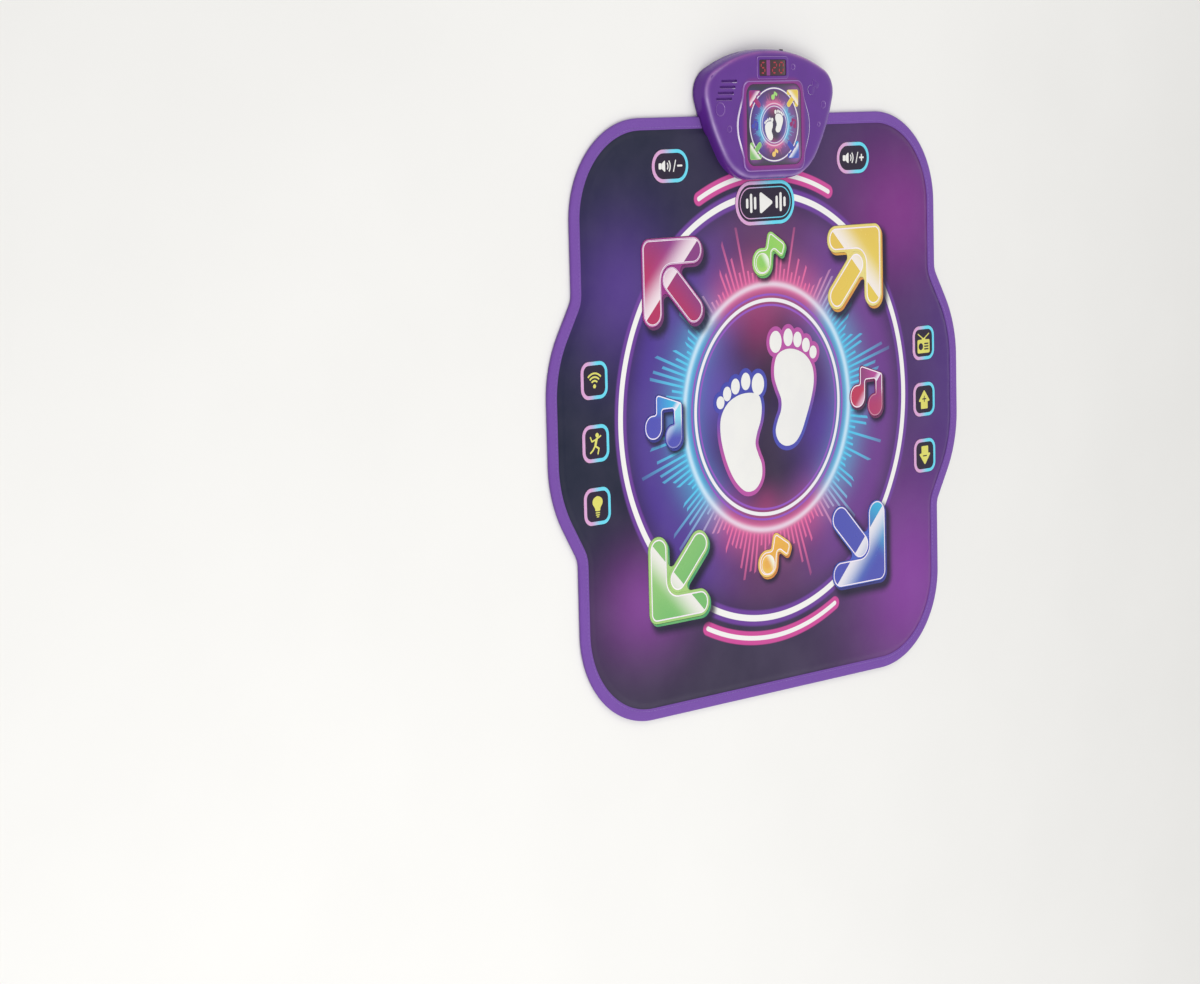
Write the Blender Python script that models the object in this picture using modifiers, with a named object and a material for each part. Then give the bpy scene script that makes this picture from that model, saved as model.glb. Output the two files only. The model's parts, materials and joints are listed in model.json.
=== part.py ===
"""Electronic dance mat: a padded play mat with press pads and a control box clamped over its top edge.

The origin is the centre of the play ring on the floor face, +Y points to the control box, +Z is up.
Sizes are in millimetres, and MM turns them into metres.
"""

import math

import bmesh
import bpy
from mathutils import Matrix, Vector

MM = 0.001
GAP = 0.3  # left between pieces that touch
CHORD_ERROR = 0.6  # how far an outline may cut inside its true arc
BOX_CHORD_ERROR = 0.4
CUT_CHORD_ERROR = 1.0  # of the hidden cut-outs for the control box
MAT_CHORD_ERROR = 1.1
HOLE_SIDES = 6  # of the contact holes in the circuit layers
BAR_SIDES = 8  # of screws, posts and small holes
TURN_STEPS = 12  # of the larger round pieces
LEAST_RADIUS = 0.2
LEAST_STRAIGHT = 1.0  # left between two fillets of an outline
OVERCUT = 2.0  # how far a cutter runs past the wall it goes through
ROOT = 1.0  # how far a joined boss, rib or wall reaches into the floor that carries it

# Plan of the mat
MAT_HALF_WIDTH = 470.0
MAT_HALF_HEIGHT = 447.5
LUG_REACH = 55.0  # of the side lugs past the rest of the mat
MAT_CORNER_RADIUS = 147.0
LUG_HALF_HEIGHT = 98.0
LUG_RADIUS = 190.0
WAIST_Y = 190.0
WAIST_RADIUS = 30.0

# Layers of the mat, from the floor up
BOTTOM_SHEET = 1.0
PADDING = 3.0
PADDING_AT_EDGE = 1.0  # squeezed by the seam
FILM = 0.2
SPACER = 1.5
COVER = 1.5
BINDING = 0.6
BINDING_WIDTH = 18.0
SEAM_ROOM = 0.9  # from the fold of the binding to the edges of the sheets
EDGE_SLOPE = 9.4
CIRCUIT_MARGIN = 2.0  # from the sloping edge to the circuit layers

# Press pads
PAD = 1.4
PAD_TRAVEL = 1.2
PAD_EDGE_BEVEL = 0.5
PAD_CLEARANCE = 0.5  # all round in the cover's window
PRESSED_GAP = 0.2  # from the pad to the upper film when it is down
CONTACT_GAP = 0.1  # from the contact to the lower film when it is down
CONTACT_CLEARANCE = 2.0
CONTACT_RADIUS = 5.0
ARROW_CONTACT_RADIUS = 9.0
ARROW_LENGTH = 131.0
ARROW_WIDTH = 42.0
ARROW_TIP_X = 275.0
ARROW_TOP_Y = 271.0
ARROW_BOTTOM_Y = -303.0
ARROW_CONTACT_FROM_TIP = 36.0
ARROW_TIP_RADIUS = 16.0
ARROW_END_RADIUS = 20.5
ARROW_FORK_RADIUS = 8.0
LED_SIZE = 5.0
LED_HEIGHT = 1.6
LED_HOLE_RADIUS = 5.0
LED_FROM_TIP = (80.0, 21.0)
START_WIDTH = 135.0
START_HEIGHT = 67.0
START_RADIUS = 33.0
START_TO_BOX = 2.0
VOLUME_WIDTH = 78.0
VOLUME_HEIGHT = 49.0
VOLUME_RADIUS = 24.0
VOLUME_X = 209.0
VOLUME_FROM_TOP = 71.5
MODE_SIZE = 55.0
MODE_RADIUS = 16.0
MODE_FROM_SIDE = 91.0
MODE_HIGHEST_Y = 72.0
MODE_PITCH = 92.0
NOTE_TOP = (-10.5, 223.5)
NOTE_BOTTOM = (-10.5, -242.5)
NOTE_LEFT = (-258.0, -8.0)
NOTE_RIGHT = (211.0, -1.0)

# Plan of the control box, from its front edge and from its rear edge
BOX_OVERLAP = 98.0  # how far it reaches over the mat
BOX_DEPTH = 196.5
BOX_FRONT_X = 85.5
BOX_FRONT_RADIUS = 80.0
BOX_FLANK = (132.3, 74.8)
BOX_FLANK_RADIUS = 250.0
BOX_SHOULDER_X = 157.3
BOX_SHOULDER_FROM_REAR = 44.8
BOX_SHOULDER_RADIUS = 40.0
BOX_REAR_X = 68.0
BOX_REAR_RADIUS = 270.0

# Heights and walls of the control box
BOX_WALL = 2.4
BOX_FLOOR = 2.0
BOX_LIFT = 1.0  # of its underside over the floor
BOX_HEADROOM = 6.9  # from the battery bay to the ceiling
BOX_EDGE = ((0.6, 12.0), (2.6, 6.0), (6.5, 2.2), (12.5, 0.5), (24.0, 0.0))  # inset, depth below the top
BOX_CLEARANCE = 1.5  # round the box in the cut-out of the mat
BASE_EDGE = 1.2  # chamfer round the underside
PLATEAU_RISE = 2.0
PLATEAU_BEVEL = 1.6
PLATEAU_FRONT = (60.0, 8.5, 14.0)  # x, y from the front edge, radius
PLATEAU_BULGE = (86.0, 80.0, 60.0)
PLATEAU_REAR = (62.0, 149.0, 14.0)
PANEL_WIDTH = 124.0
PANEL_HEIGHT = 122.0
PANEL_RADIUS = 16.0
PANEL = 1.2
PANEL_SINK = 0.3  # of the panel's face below the plateau
PANEL_FROM_FRONT = 82.5
DISPLAY_WIDTH = 61.0
DISPLAY_HEIGHT = 24.0
DISPLAY_RADIUS = 2.5
DISPLAY_FROM_REAR = 28.5
DISPLAY_FRAME = 5.0
DISPLAY_FRAME_RISE = 0.9
LENS_PROUD = 0.2
LENS_FLANGE = 2.5
LENS_FLANGE_HEIGHT = 1.4
LENS_DROP = 1.1  # of the flange below the ceiling, which curves down behind it
DISPLAY_MODULE = 3.6
SLOT_LENGTH = 35.0
SLOT_HEIGHT = 3.6
SLOT_PITCH = 8.8
SLOT_STEP = 4.0
SLOT_COUNT = 4
SLOT_CUT_DEPTH = 4.0  # below the ceiling
SPEAKER_X = -103.5
SPEAKER_FROM_REAR = 60.5
SPEAKER_RADIUS = 20.0
SPEAKER_HEIGHT = 6.5
SPEAKER_RIM = 2.5
SPEAKER_RIM_HEIGHT = 1.2
MAGNET_RADIUS = 9.5
MAGNET_HEIGHT = 7.0
CONE = 0.4
CONE_DUST_CAP_RADIUS = 3.5
COLLAR_WALL = 1.4
COLLAR_HEIGHT = 4.0
RELIEF = 0.5  # of the rings and the note raised on the top
RELIEF_DISCS = (  # x, y from the rear edge, radius
    (-118.0, 89.0, 10.4),
    (-98.6, 118.7, 5.2),
    (116.9, 85.8, 5.9),
    (105.4, 115.5, 3.9),
    (47.7, 27.7, 4.9),
)
EMBLEM_X = 87.5
EMBLEM_FROM_REAR = 63.0
EMBLEM_SCALE = 0.34  # of the note pad

# Battery bay
CELL_RADIUS = 7.25
CELL_LENGTH = 49.5
CELL_NUB_RADIUS = 2.75
CELL_NUB = 1.0
CELL_SPACING = 0.4
CELL_COUNT = 4
CONTACT_ROOM = 4.0  # at each end of the cells
CONTACT_PLATE = 0.4
CONTACT_BELOW = 2.0  # of the plate below the cells' axes
CONTACT_ABOVE = 4.5
CONTACT_SIDE_ROOM = 1.0
SPRING_RADIUS = 3.2
CELL_EDGE = 0.7
BAY_SIDE_ROOM = 1.2
BAY_WALL = 1.6
BAY_FROM_REAR = 24.5
DIVIDER = 1.2
DIVIDER_DEPTH = 1.6  # into the valley between two cells
RIB = 1.2
RIB_HEIGHT = 2.2
RIBS_FROM_REAR = (40.0, 62.0)
DOOR_LUG_WIDTH = 7.0
DOOR_LUG_REACH = 4.5
DOOR_LUG = 1.8
DOOR_LUG_SWING = 7.0
DOOR_LUG_HEEL = 2.0  # of the lug behind the hinge axis
DOOR_TAB_WIDTH = 16.0
DOOR_TAB_LENGTH = 9.8
DOOR_BOSS_HEIGHT = 9.0
DOOR_BOSS_MARGIN = 3.0  # of the boss round the door's tab
GRIP_COUNT = 4
GRIP_PITCH = 3.2
GRIP_WIDTH = 1.4
GRIP_LENGTH = 26.0
GRIP_DEPTH = 0.5
GRIP_FROM_REAR = 6.0

# Screws, posts, board and feet
SCREW_HEAD_RADIUS = 2.8
SCREW_HEAD = 1.5
SCREW_RADIUS = 1.3
SCREW_LENGTH = 11.0
SCREW_POINT = 1.5
SCREW_HEAD_EDGE = 0.8
SCREW_HOLE_ROOM = 1.0  # past the screw's point
DOOR_SCREW_HEAD = 0.9
DOOR_SCREW_LENGTH = 6.0
SCREW_CLEARANCE = 0.35
DOOR_SCREW_CLEARANCE = 0.7
PILLAR_RADIUS = 4.0
PILLAR_CLEARANCE = 0.7
SCREW_FRONT = (70.0, 35.5)  # x, y from the front edge of the box
SCREW_MIDDLE = (126.0, 103.0)
SCREW_REAR = (96.0, 31.5)  # x, y from the rear edge of the box
BOARD = 1.6
BOARD_HALF_WIDTH = 62.0
BOARD_DEPTH = 62.0
BOARD_FROM_REAR = 48.0
BOARD_OVER_BAY = 1.5
POST_RADIUS = 3.0
POST_INSET = 4.0
FOOT_RADIUS = 6.0
FOOT_SEAT = 0.5
FOOT_EDGE = 0.3
FOOT_FRONT = (58.0, 14.0)  # x, y from the front edge of the box
FOOT_REAR = (108.0, 56.5)  # x, y from the rear edge of the box
TAIL = 0.2
TAIL_WIDTH = 24.0
TAIL_ROOM = 1.0  # beside the tail in the rim of the base
CLAMP_DEPTH = 5.0
CLAMP_HEIGHT = 1.2
CLAMP_FROM_EDGE = 2.0  # of the board

# Power switch in the rear wall
SWITCH_X = 36.0
SWITCH_Z = 15.0
SWITCH_TRAVEL = 4.0
KNOB = (5.0, 4.0)
KNOB_PROUD = 1.5
SWITCH_BODY = (21.0, 6.0, 10.0)
SWITCH_WINDOW_ROOM = 0.6
SWITCH_SLOT_DEPTH = 3.0

# Levels and places that follow from the sizes
MAT_BODY_HALF_WIDTH = MAT_HALF_WIDTH - LUG_REACH
PADDING_LOW = BOTTOM_SHEET + GAP
PADDING_TOP = PADDING_LOW + PADDING
LOWER_FILM_LOW = PADDING_TOP + GAP
LOWER_FILM_TOP = LOWER_FILM_LOW + FILM
SPACER_LOW = LOWER_FILM_TOP + GAP
SPACER_TOP = SPACER_LOW + SPACER
UPPER_FILM_LOW = SPACER_TOP + GAP
UPPER_FILM_TOP = UPPER_FILM_LOW + FILM
COVER_LOW = UPPER_FILM_TOP + GAP
COVER_TOP = COVER_LOW + COVER
EDGE_BOTTOM_LOW = BINDING + GAP
EDGE_BOTTOM_TOP = EDGE_BOTTOM_LOW + BOTTOM_SHEET
EDGE_PADDING_LOW = EDGE_BOTTOM_TOP + GAP
EDGE_PADDING_TOP = EDGE_PADDING_LOW + PADDING_AT_EDGE
EDGE_COVER_LOW = EDGE_PADDING_TOP + GAP
EDGE_COVER_TOP = EDGE_COVER_LOW + COVER
EDGE_TOP = EDGE_COVER_TOP + GAP + BINDING
SHEET_INSET = BINDING + SEAM_ROOM
SLOPE_START = BINDING_WIDTH + BINDING
SLOPE_END = SLOPE_START + EDGE_SLOPE
PAD_LOW = UPPER_FILM_TOP + PRESSED_GAP + PAD_TRAVEL
PAD_TOP = PAD_LOW + PAD
CONTACT_LOW = LOWER_FILM_TOP + CONTACT_GAP + PAD_TRAVEL
MAT_CUT_Y = MAT_HALF_HEIGHT - SLOPE_END - BOX_CLEARANCE
BOX_FRONT_Y = MAT_HALF_HEIGHT - BOX_OVERLAP
BOX_REAR_Y = BOX_FRONT_Y + BOX_DEPTH
BOX_FLOOR_TOP = BOX_LIFT + BOX_FLOOR
BOX_RIM = EDGE_TOP + GAP
BOX_FRONT_RIM = COVER_TOP + GAP
CELL_PITCH = 2 * CELL_RADIUS + CELL_SPACING
BAY_HALF_WIDTH = CELL_PITCH * (CELL_COUNT - 1) / 2 + CELL_RADIUS + BAY_SIDE_ROOM
BAY_REAR_Y = BOX_REAR_Y - BAY_FROM_REAR
BAY_FRONT_Y = BAY_REAR_Y - CELL_LENGTH - CELL_NUB - 2 * CONTACT_ROOM
CELL_Z = BOX_FLOOR_TOP + GAP + CELL_RADIUS
BAY_CEILING = CELL_Z + CELL_RADIUS + GAP
BAY_TOP = BAY_CEILING + BAY_WALL
BOX_CEILING = BAY_TOP + BOX_HEADROOM
BOX_TOP = BOX_CEILING + BOX_WALL
PLATEAU_TOP = BOX_TOP + PLATEAU_RISE
PANEL_LOW = PLATEAU_TOP - PANEL_SINK - PANEL
DOOR_AXIS_Y = BAY_FRONT_Y + GAP + BOX_FLOOR / 2
DOOR_AXIS_Z = BOX_LIFT + BOX_FLOOR / 2
DOOR_SCREW_Y = BAY_REAR_Y - GAP + DOOR_TAB_LENGTH / 2
BOARD_LOW = BAY_TOP + BOARD_OVER_BAY
BOARD_REAR_Y = BOX_REAR_Y - BOARD_FROM_REAR
DISPLAY_Y = BOX_REAR_Y - DISPLAY_FROM_REAR


def linear(code):
    """Linear colour of a hex code such as 6f3f98."""
    values = [int(code[i : i + 2], 16) / 255 for i in (0, 2, 4)]
    return [v / 12.92 if v <= 0.04045 else ((v + 0.055) / 1.055) ** 2.4 for v in values]


def material(name, code, roughness, metallic=0.0):
    made = bpy.data.materials.new(name)
    made.use_nodes = True
    shader = made.node_tree.nodes["Principled BSDF"]
    shader.inputs["Base Color"].default_value = (*linear(code), 1.0)
    shader.inputs["Roughness"].default_value = roughness
    shader.inputs["Metallic"].default_value = metallic
    made.diffuse_color = (*linear(code), 1.0)
    return made


def mirrored(half):
    """Adds the -X half to corners (x, y, radius) of the +X half, which run from low y to high y."""
    return list(half) + [(-x, y, radius) for x, y, radius in reversed(half)]


def rounded_box(width, height, radius):
    return mirrored([(width / 2, -height / 2, radius), (width / 2, height / 2, radius)])


def placed(points, x, y):
    return [(px + x, py + y) for px, py in points]


def outline(corners, inset=0.0, error=CHORD_ERROR):
    """Points of a polygon with rounded corners, counter-clockwise, its edge moved inwards by inset.

    Every inset gives as many points, so that outlines of one shape can be joined to each other.
    A fillet is limited by the two edges that it joins.
    """
    count = len(corners)
    places = [Vector(corner[:2]) for corner in corners]
    edges = [places[(i + 1) % count] - places[i] for i in range(count)]
    turns = []
    for i in range(count):
        before, after = edges[i - 1], edges[i]
        turns.append(math.atan2(before.x * after.y - before.y * after.x, before.dot(after)))
    reach = [corners[i][2] * math.tan(abs(turns[i]) / 2) for i in range(count)]
    points = []
    for i, (_, _, wanted) in enumerate(corners):
        fit_before = (edges[i - 1].length - LEAST_STRAIGHT) / max(reach[i - 1] + reach[i], 1e-6)
        fit_after = (edges[i].length - LEAST_STRAIGHT) / max(reach[i] + reach[(i + 1) % count], 1e-6)
        radius = wanted * min(1.0, fit_before, fit_after)
        half_turn = abs(turns[i]) / 2
        before, after = edges[i - 1].normalized(), edges[i].normalized()
        normal = Vector((-before.y, before.x))
        inwards = (normal + Vector((-after.y, after.x))).normalized()
        side = 1 if turns[i] > 0 else -1
        new_radius = max(radius - side * inset, LEAST_RADIUS)
        corner = places[i] + inwards * inset / math.cos(half_turn)
        centre = corner + inwards * side * new_radius / math.cos(half_turn)
        spoke = normal * -side * new_radius
        chord = min(error, radius * 0.3)
        steps = max(1, math.ceil(2 * half_turn / (2 * math.acos(1 - chord / radius))))
        for k in range(steps + 1):
            points.append(tuple(centre + Matrix.Rotation(turns[i] * k / steps, 2) @ spoke))
    return points


def circle(x, y, radius, count=HOLE_SIDES):
    """Points of a regular polygon whose flats touch the circle, none of them along X or Y."""
    outer = radius / math.cos(math.pi / count)
    angles = [math.tau * (k + 0.3) / count for k in range(count)]
    return [(x + outer * math.cos(a), y + outer * math.sin(a)) for a in angles]


def add_object(name, mesh, look=None):
    """Adds a part, or a cutter or other helper where it has no look."""
    made = bpy.data.objects.new(name, mesh)
    if look is None:
        made.hide_render = True
        made.display_type = "WIRE"
        bpy.data.collections["helpers"].objects.link(made)
    else:
        mesh.materials.clear()
        mesh.materials.append(look)
        bpy.data.collections["dance_mat"].objects.link(made)
    return made


def finish_mesh(shape, name):
    bmesh.ops.recalc_face_normals(shape, faces=shape.faces[:])
    if shape.calc_volume(signed=True) < 0:
        bmesh.ops.reverse_faces(shape, faces=shape.faces[:])
    mesh = bpy.data.meshes.new(name)
    shape.to_mesh(mesh)
    shape.free()
    return mesh


def plate(name, outlines, low, high, look=None):
    """A flat piece between two heights, drawn as outlines on a 2D curve; an outline in another is a hole."""
    curve = bpy.data.curves.new(name, "CURVE")
    curve.dimensions = "2D"
    curve.fill_mode = "BOTH"
    curve.extrude = (high - low) / 2 * MM
    for points in outlines:
        spline = curve.splines.new("POLY")
        spline.points.add(len(points) - 1)
        spline.use_cyclic_u = True
        for drawn, (x, y) in zip(spline.points, points):
            drawn.co = (x * MM, y * MM, 0.0, 1.0)
    sketch = bpy.data.objects.new(name + "_sketch", curve)
    bpy.context.scene.collection.objects.link(sketch)
    sketch.location.z = (low + high) / 2 * MM
    bpy.context.view_layer.update()
    graph = bpy.context.evaluated_depsgraph_get()
    mesh = bpy.data.meshes.new_from_object(sketch.evaluated_get(graph))
    shape = bmesh.new()
    shape.from_mesh(mesh)
    bmesh.ops.remove_doubles(shape, verts=shape.verts[:], dist=0.00001)
    made = add_object(name, finish_mesh(shape, name), look)
    made.matrix_world = sketch.matrix_world
    bpy.data.objects.remove(sketch)
    bpy.data.curves.remove(curve)
    bpy.data.meshes.remove(mesh)
    return made


def loft(name, sections, look=None, open_bottom=False):
    """A solid through level outlines (points, z) with as many points each, capped at both ends."""
    shape = bmesh.new()
    rings = [[shape.verts.new((x * MM, y * MM, z * MM)) for x, y in points] for points, z in sections]
    for lower, upper in zip(rings, rings[1:]):
        for i in range(len(lower)):
            j = (i + 1) % len(lower)
            shape.faces.new((lower[i], lower[j], upper[j], upper[i]))
    if not open_bottom:
        shape.faces.new(rings[0][::-1])
    shape.faces.new(rings[-1])
    mesh = finish_mesh(shape, name)
    return add_object(name, mesh, look)


def block(name, low, high, look=None):
    """A box between two corners, with its origin at its centre."""
    shape = bmesh.new()
    bmesh.ops.create_cube(shape, size=1.0)
    size = [(b - a) * MM for a, b in zip(low, high)]
    bmesh.ops.scale(shape, vec=size, verts=shape.verts[:])
    made = add_object(name, finish_mesh(shape, name), look)
    made.location = [(a + b) / 2 * MM for a, b in zip(low, high)]
    return made


def cylinders(name, places, radius, low, high, count=TURN_STEPS, look=None):
    """Upright round bars between two heights, as one helper or part."""
    shape = bmesh.new()
    outer = radius / math.cos(math.pi / count)
    for x, y in places:
        matrix = Matrix.Translation((x * MM, y * MM, (low + high) / 2 * MM))
        bmesh.ops.create_cone(
            shape,
            cap_ends=True,
            segments=count,
            radius1=outer * MM,
            radius2=outer * MM,
            depth=(high - low) * MM,
            matrix=matrix @ Matrix.Rotation(math.pi / count, 4, "Z"),
        )
    return add_object(name, finish_mesh(shape, name), look)


def turned(name, profile, look, count=TURN_STEPS):
    """A turned piece: profile points (radius, z) run from top to bottom down its outer side."""
    mesh = bpy.data.meshes.new(name)
    points = [(radius * MM, 0.0, z * MM) for radius, z in profile]
    mesh.from_pydata(points, [(i, i + 1) for i in range(len(points) - 1)], [])
    made = add_object(name, mesh, look)
    spin = made.modifiers.new("turn", "SCREW")
    spin.angle = math.tau
    spin.steps = count
    spin.render_steps = count
    spin.use_merge_vertices = True
    spin.merge_threshold = 0.00001
    spin.use_smooth_shade = False
    return made


def boolean(target, tool, operation):
    step = target.modifiers.new(f"{operation.lower()}_{tool.name}", "BOOLEAN")
    step.operation = operation
    step.solver = "EXACT"
    step.object = tool


def cut(target, *tools):
    for tool in tools:
        boolean(target, tool, "DIFFERENCE")


def join(target, *tools):
    for tool in tools:
        boolean(target, tool, "UNION")


def bevel_top(made, width):
    """Chamfers the rim of a plate's upper face."""
    shape = bmesh.new()
    shape.from_mesh(made.data)
    top = max(vertex.co.z for vertex in shape.verts)
    rim = []
    for edge in shape.edges:
        if all(abs(vertex.co.z - top) < 1e-6 for vertex in edge.verts):
            if any(abs(face.normal.z) < 0.5 for face in edge.link_faces):
                rim.append(edge)
    bmesh.ops.bevel(shape, geom=rim, offset=width * MM, segments=1, affect="EDGES", clamp_overlap=False)
    shape.to_mesh(made.data)
    shape.free()


def mat_outline(inset=0.0):
    upper = [
        (MAT_HALF_WIDTH, LUG_HALF_HEIGHT, LUG_RADIUS),
        (MAT_BODY_HALF_WIDTH, WAIST_Y, WAIST_RADIUS),
        (MAT_BODY_HALF_WIDTH, MAT_HALF_HEIGHT, MAT_CORNER_RADIUS),
    ]
    lower = [(x, -y, radius) for x, y, radius in reversed(upper)]
    return outline(mirrored(lower + upper), inset, MAT_CHORD_ERROR)


def box_outline(inset=0.0, error=BOX_CHORD_ERROR):
    half = [
        (BOX_FRONT_X, BOX_FRONT_Y, BOX_FRONT_RADIUS),
        (BOX_FLANK[0], BOX_FRONT_Y + BOX_FLANK[1], BOX_FLANK_RADIUS),
        (BOX_SHOULDER_X, BOX_REAR_Y - BOX_SHOULDER_FROM_REAR, BOX_SHOULDER_RADIUS),
        (BOX_REAR_X, BOX_REAR_Y, BOX_REAR_RADIUS),
    ]
    return outline(mirrored(half), inset, error)


def arrow_corners(side_x, side_y):
    """An arrow with its tip in a corner, its stem on the diagonal; the origin is over its contact."""
    width = ARROW_WIDTH
    fork = width * (1 + math.sqrt(0.5))
    stem = (ARROW_LENGTH - width / 2) + width / 2 * math.sqrt(0.5)
    half = width / 2 * math.sqrt(0.5)
    corners = [
        (0, 0, ARROW_TIP_RADIUS),
        (-ARROW_LENGTH, 0, ARROW_END_RADIUS),
        (-ARROW_LENGTH, -width, ARROW_END_RADIUS),
        (-fork, -width, ARROW_FORK_RADIUS),
        (-stem - half, -stem + half, ARROW_END_RADIUS),
        (-stem + half, -stem - half, ARROW_END_RADIUS),
        (-width, -fork, ARROW_FORK_RADIUS),
        (-width, -ARROW_LENGTH, ARROW_END_RADIUS),
        (0, -ARROW_LENGTH, ARROW_END_RADIUS),
    ]
    shift = ARROW_CONTACT_FROM_TIP
    turned_round = [((x + shift) * side_x, (y + shift) * side_y, radius) for x, y, radius in corners]
    return turned_round if side_x * side_y > 0 else turned_round[::-1]


def single_note_corners():
    """A quaver; the origin is the centre of its head."""
    return [
        (-21, -21, 20.5),
        (21, -21, 20.5),
        (25, 18.5, 4),
        (47.5, 3.5, 6.5),
        (57.5, 26, 10),
        (16.5, 50, 8),
        (9.5, 21.5, 3.5),
        (-21, 21.5, 20.5),
    ]


def double_note_corners():
    """Two beamed quavers; the origin is the centre of the left head."""
    return [
        (-18.5, -19, 18),
        (18.5, -19, 18),
        (19.8, 24, 3.3),
        (44, 24, 3.3),
        (44, 1.5, 1),
        (25, 1.5, 17.9),
        (25, -35.5, 17.9),
        (62, -35.5, 17.9),
        (62.5, 33, 6.5),
        (6, 50, 6.5),
        (5.4, 19, 2.6),
        (-18.5, 19, 18),
    ]


def pad_list():
    """Every pad as (name, corners, x, y, contact radius, material name)."""
    pads = []
    arrows = (
        ("arrow_pad_red", -1, 1, ARROW_TOP_Y, "pad_red"),
        ("arrow_pad_yellow", 1, 1, ARROW_TOP_Y, "pad_yellow"),
        ("arrow_pad_green", -1, -1, ARROW_BOTTOM_Y, "pad_green"),
        ("arrow_pad_blue", 1, -1, ARROW_BOTTOM_Y, "pad_blue"),
    )
    for name, side_x, side_y, tip_y, look in arrows:
        x = side_x * (ARROW_TIP_X - ARROW_CONTACT_FROM_TIP)
        y = tip_y - side_y * ARROW_CONTACT_FROM_TIP
        pads.append((name, arrow_corners(side_x, side_y), x, y, ARROW_CONTACT_RADIUS, look))
    notes = (
        ("note_pad_green", single_note_corners(), NOTE_TOP, "pad_green"),
        ("note_pad_orange", single_note_corners(), NOTE_BOTTOM, "pad_orange"),
        ("note_pad_blue", double_note_corners(), NOTE_LEFT, "pad_blue"),
        ("note_pad_red", double_note_corners(), NOTE_RIGHT, "pad_red"),
    )
    for name, corners, (x, y), look in notes:
        pads.append((name, corners, x, y, CONTACT_RADIUS, look))
    start = rounded_box(START_WIDTH, START_HEIGHT, START_RADIUS)
    start_y = BOX_FRONT_Y - START_TO_BOX - START_HEIGHT / 2
    pads.append(("start_pad", start, 0, start_y, CONTACT_RADIUS, "pad_dark"))
    volume = rounded_box(VOLUME_WIDTH, VOLUME_HEIGHT, VOLUME_RADIUS)
    for name, side in (("volume_down_pad", -1), ("volume_up_pad", 1)):
        volume_y = MAT_HALF_HEIGHT - VOLUME_FROM_TOP
        pads.append((name, volume, side * VOLUME_X, volume_y, CONTACT_RADIUS, "pad_dark"))
    mode = rounded_box(MODE_SIZE, MODE_SIZE, MODE_RADIUS)
    columns = (
        (-1, ("wireless_pad", "free_dance_pad", "memory_pad")),
        (1, ("radio_pad", "level_up_pad", "level_down_pad")),
    )
    for side, names in columns:
        for row, name in enumerate(names):
            x = side * (MAT_HALF_WIDTH - MODE_FROM_SIDE)
            y = MODE_HIGHEST_Y - row * MODE_PITCH
            pads.append((name, mode, x, y, CONTACT_RADIUS, "pad_dark"))
    return pads


def led_places():
    """One lamp under each arrow, beside its contact."""
    places = []
    for side_y, tip_y in ((1, ARROW_TOP_Y), (-1, ARROW_BOTTOM_Y)):
        for side_x in (-1, 1):
            x = side_x * (ARROW_TIP_X - LED_FROM_TIP[0])
            places.append((x, tip_y - side_y * LED_FROM_TIP[1]))
    return places


def make_pads(looks):
    for name, corners, x, y, radius, look in pad_list():
        pad = plate(name, [outline(corners)], PAD_LOW, PAD_TOP, looks[look])
        bevel_top(pad, PAD_EDGE_BEVEL)
        contact = cylinders(name + "_contact", [(0, 0)], radius, CONTACT_LOW, PAD_LOW + PAD / 2, HOLE_SIDES)
        join(pad, contact)
        for piece in (pad, contact):
            piece.location.x = x * MM
            piece.location.y = y * MM


def layer(name, flat, edge, look):
    """A soft sheet that goes from its flat heights to its heights in the seam, down a short slope."""
    sections = [
        (mat_outline(SLOPE_END), flat[0]),
        (mat_outline(SLOPE_START), edge[0]),
        (mat_outline(SHEET_INSET), edge[0]),
        (mat_outline(SHEET_INSET), edge[1]),
        (mat_outline(SLOPE_START), edge[1]),
        (mat_outline(SLOPE_END), flat[1]),
    ]
    return loft(name, sections, look)


def make_binding(looks):
    """The sewn edge tape, a U-section swept round the mat."""
    width, wall, high = BINDING_WIDTH, BINDING, EDGE_TOP
    section = [
        (0, 2 * wall),
        (wall, 0),
        (width, 0),
        (width, wall),
        (wall, wall),
        (wall, high - wall),
        (width, high - wall),
        (width, high),
        (wall, high),
        (0, high - 2 * wall),
    ]
    sections = [(mat_outline(inset), z) for inset, z in section]
    shape = bmesh.new()
    rings = [[shape.verts.new((x * MM, y * MM, z * MM)) for x, y in points] for points, z in sections]
    for k, ring in enumerate(rings):
        following = rings[(k + 1) % len(rings)]
        for i in range(len(ring)):
            j = (i + 1) % len(ring)
            shape.faces.new((ring[i], ring[j], following[j], following[i]))
    return add_object("edge_binding", finish_mesh(shape, "edge_binding"), looks["binding"])


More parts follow.
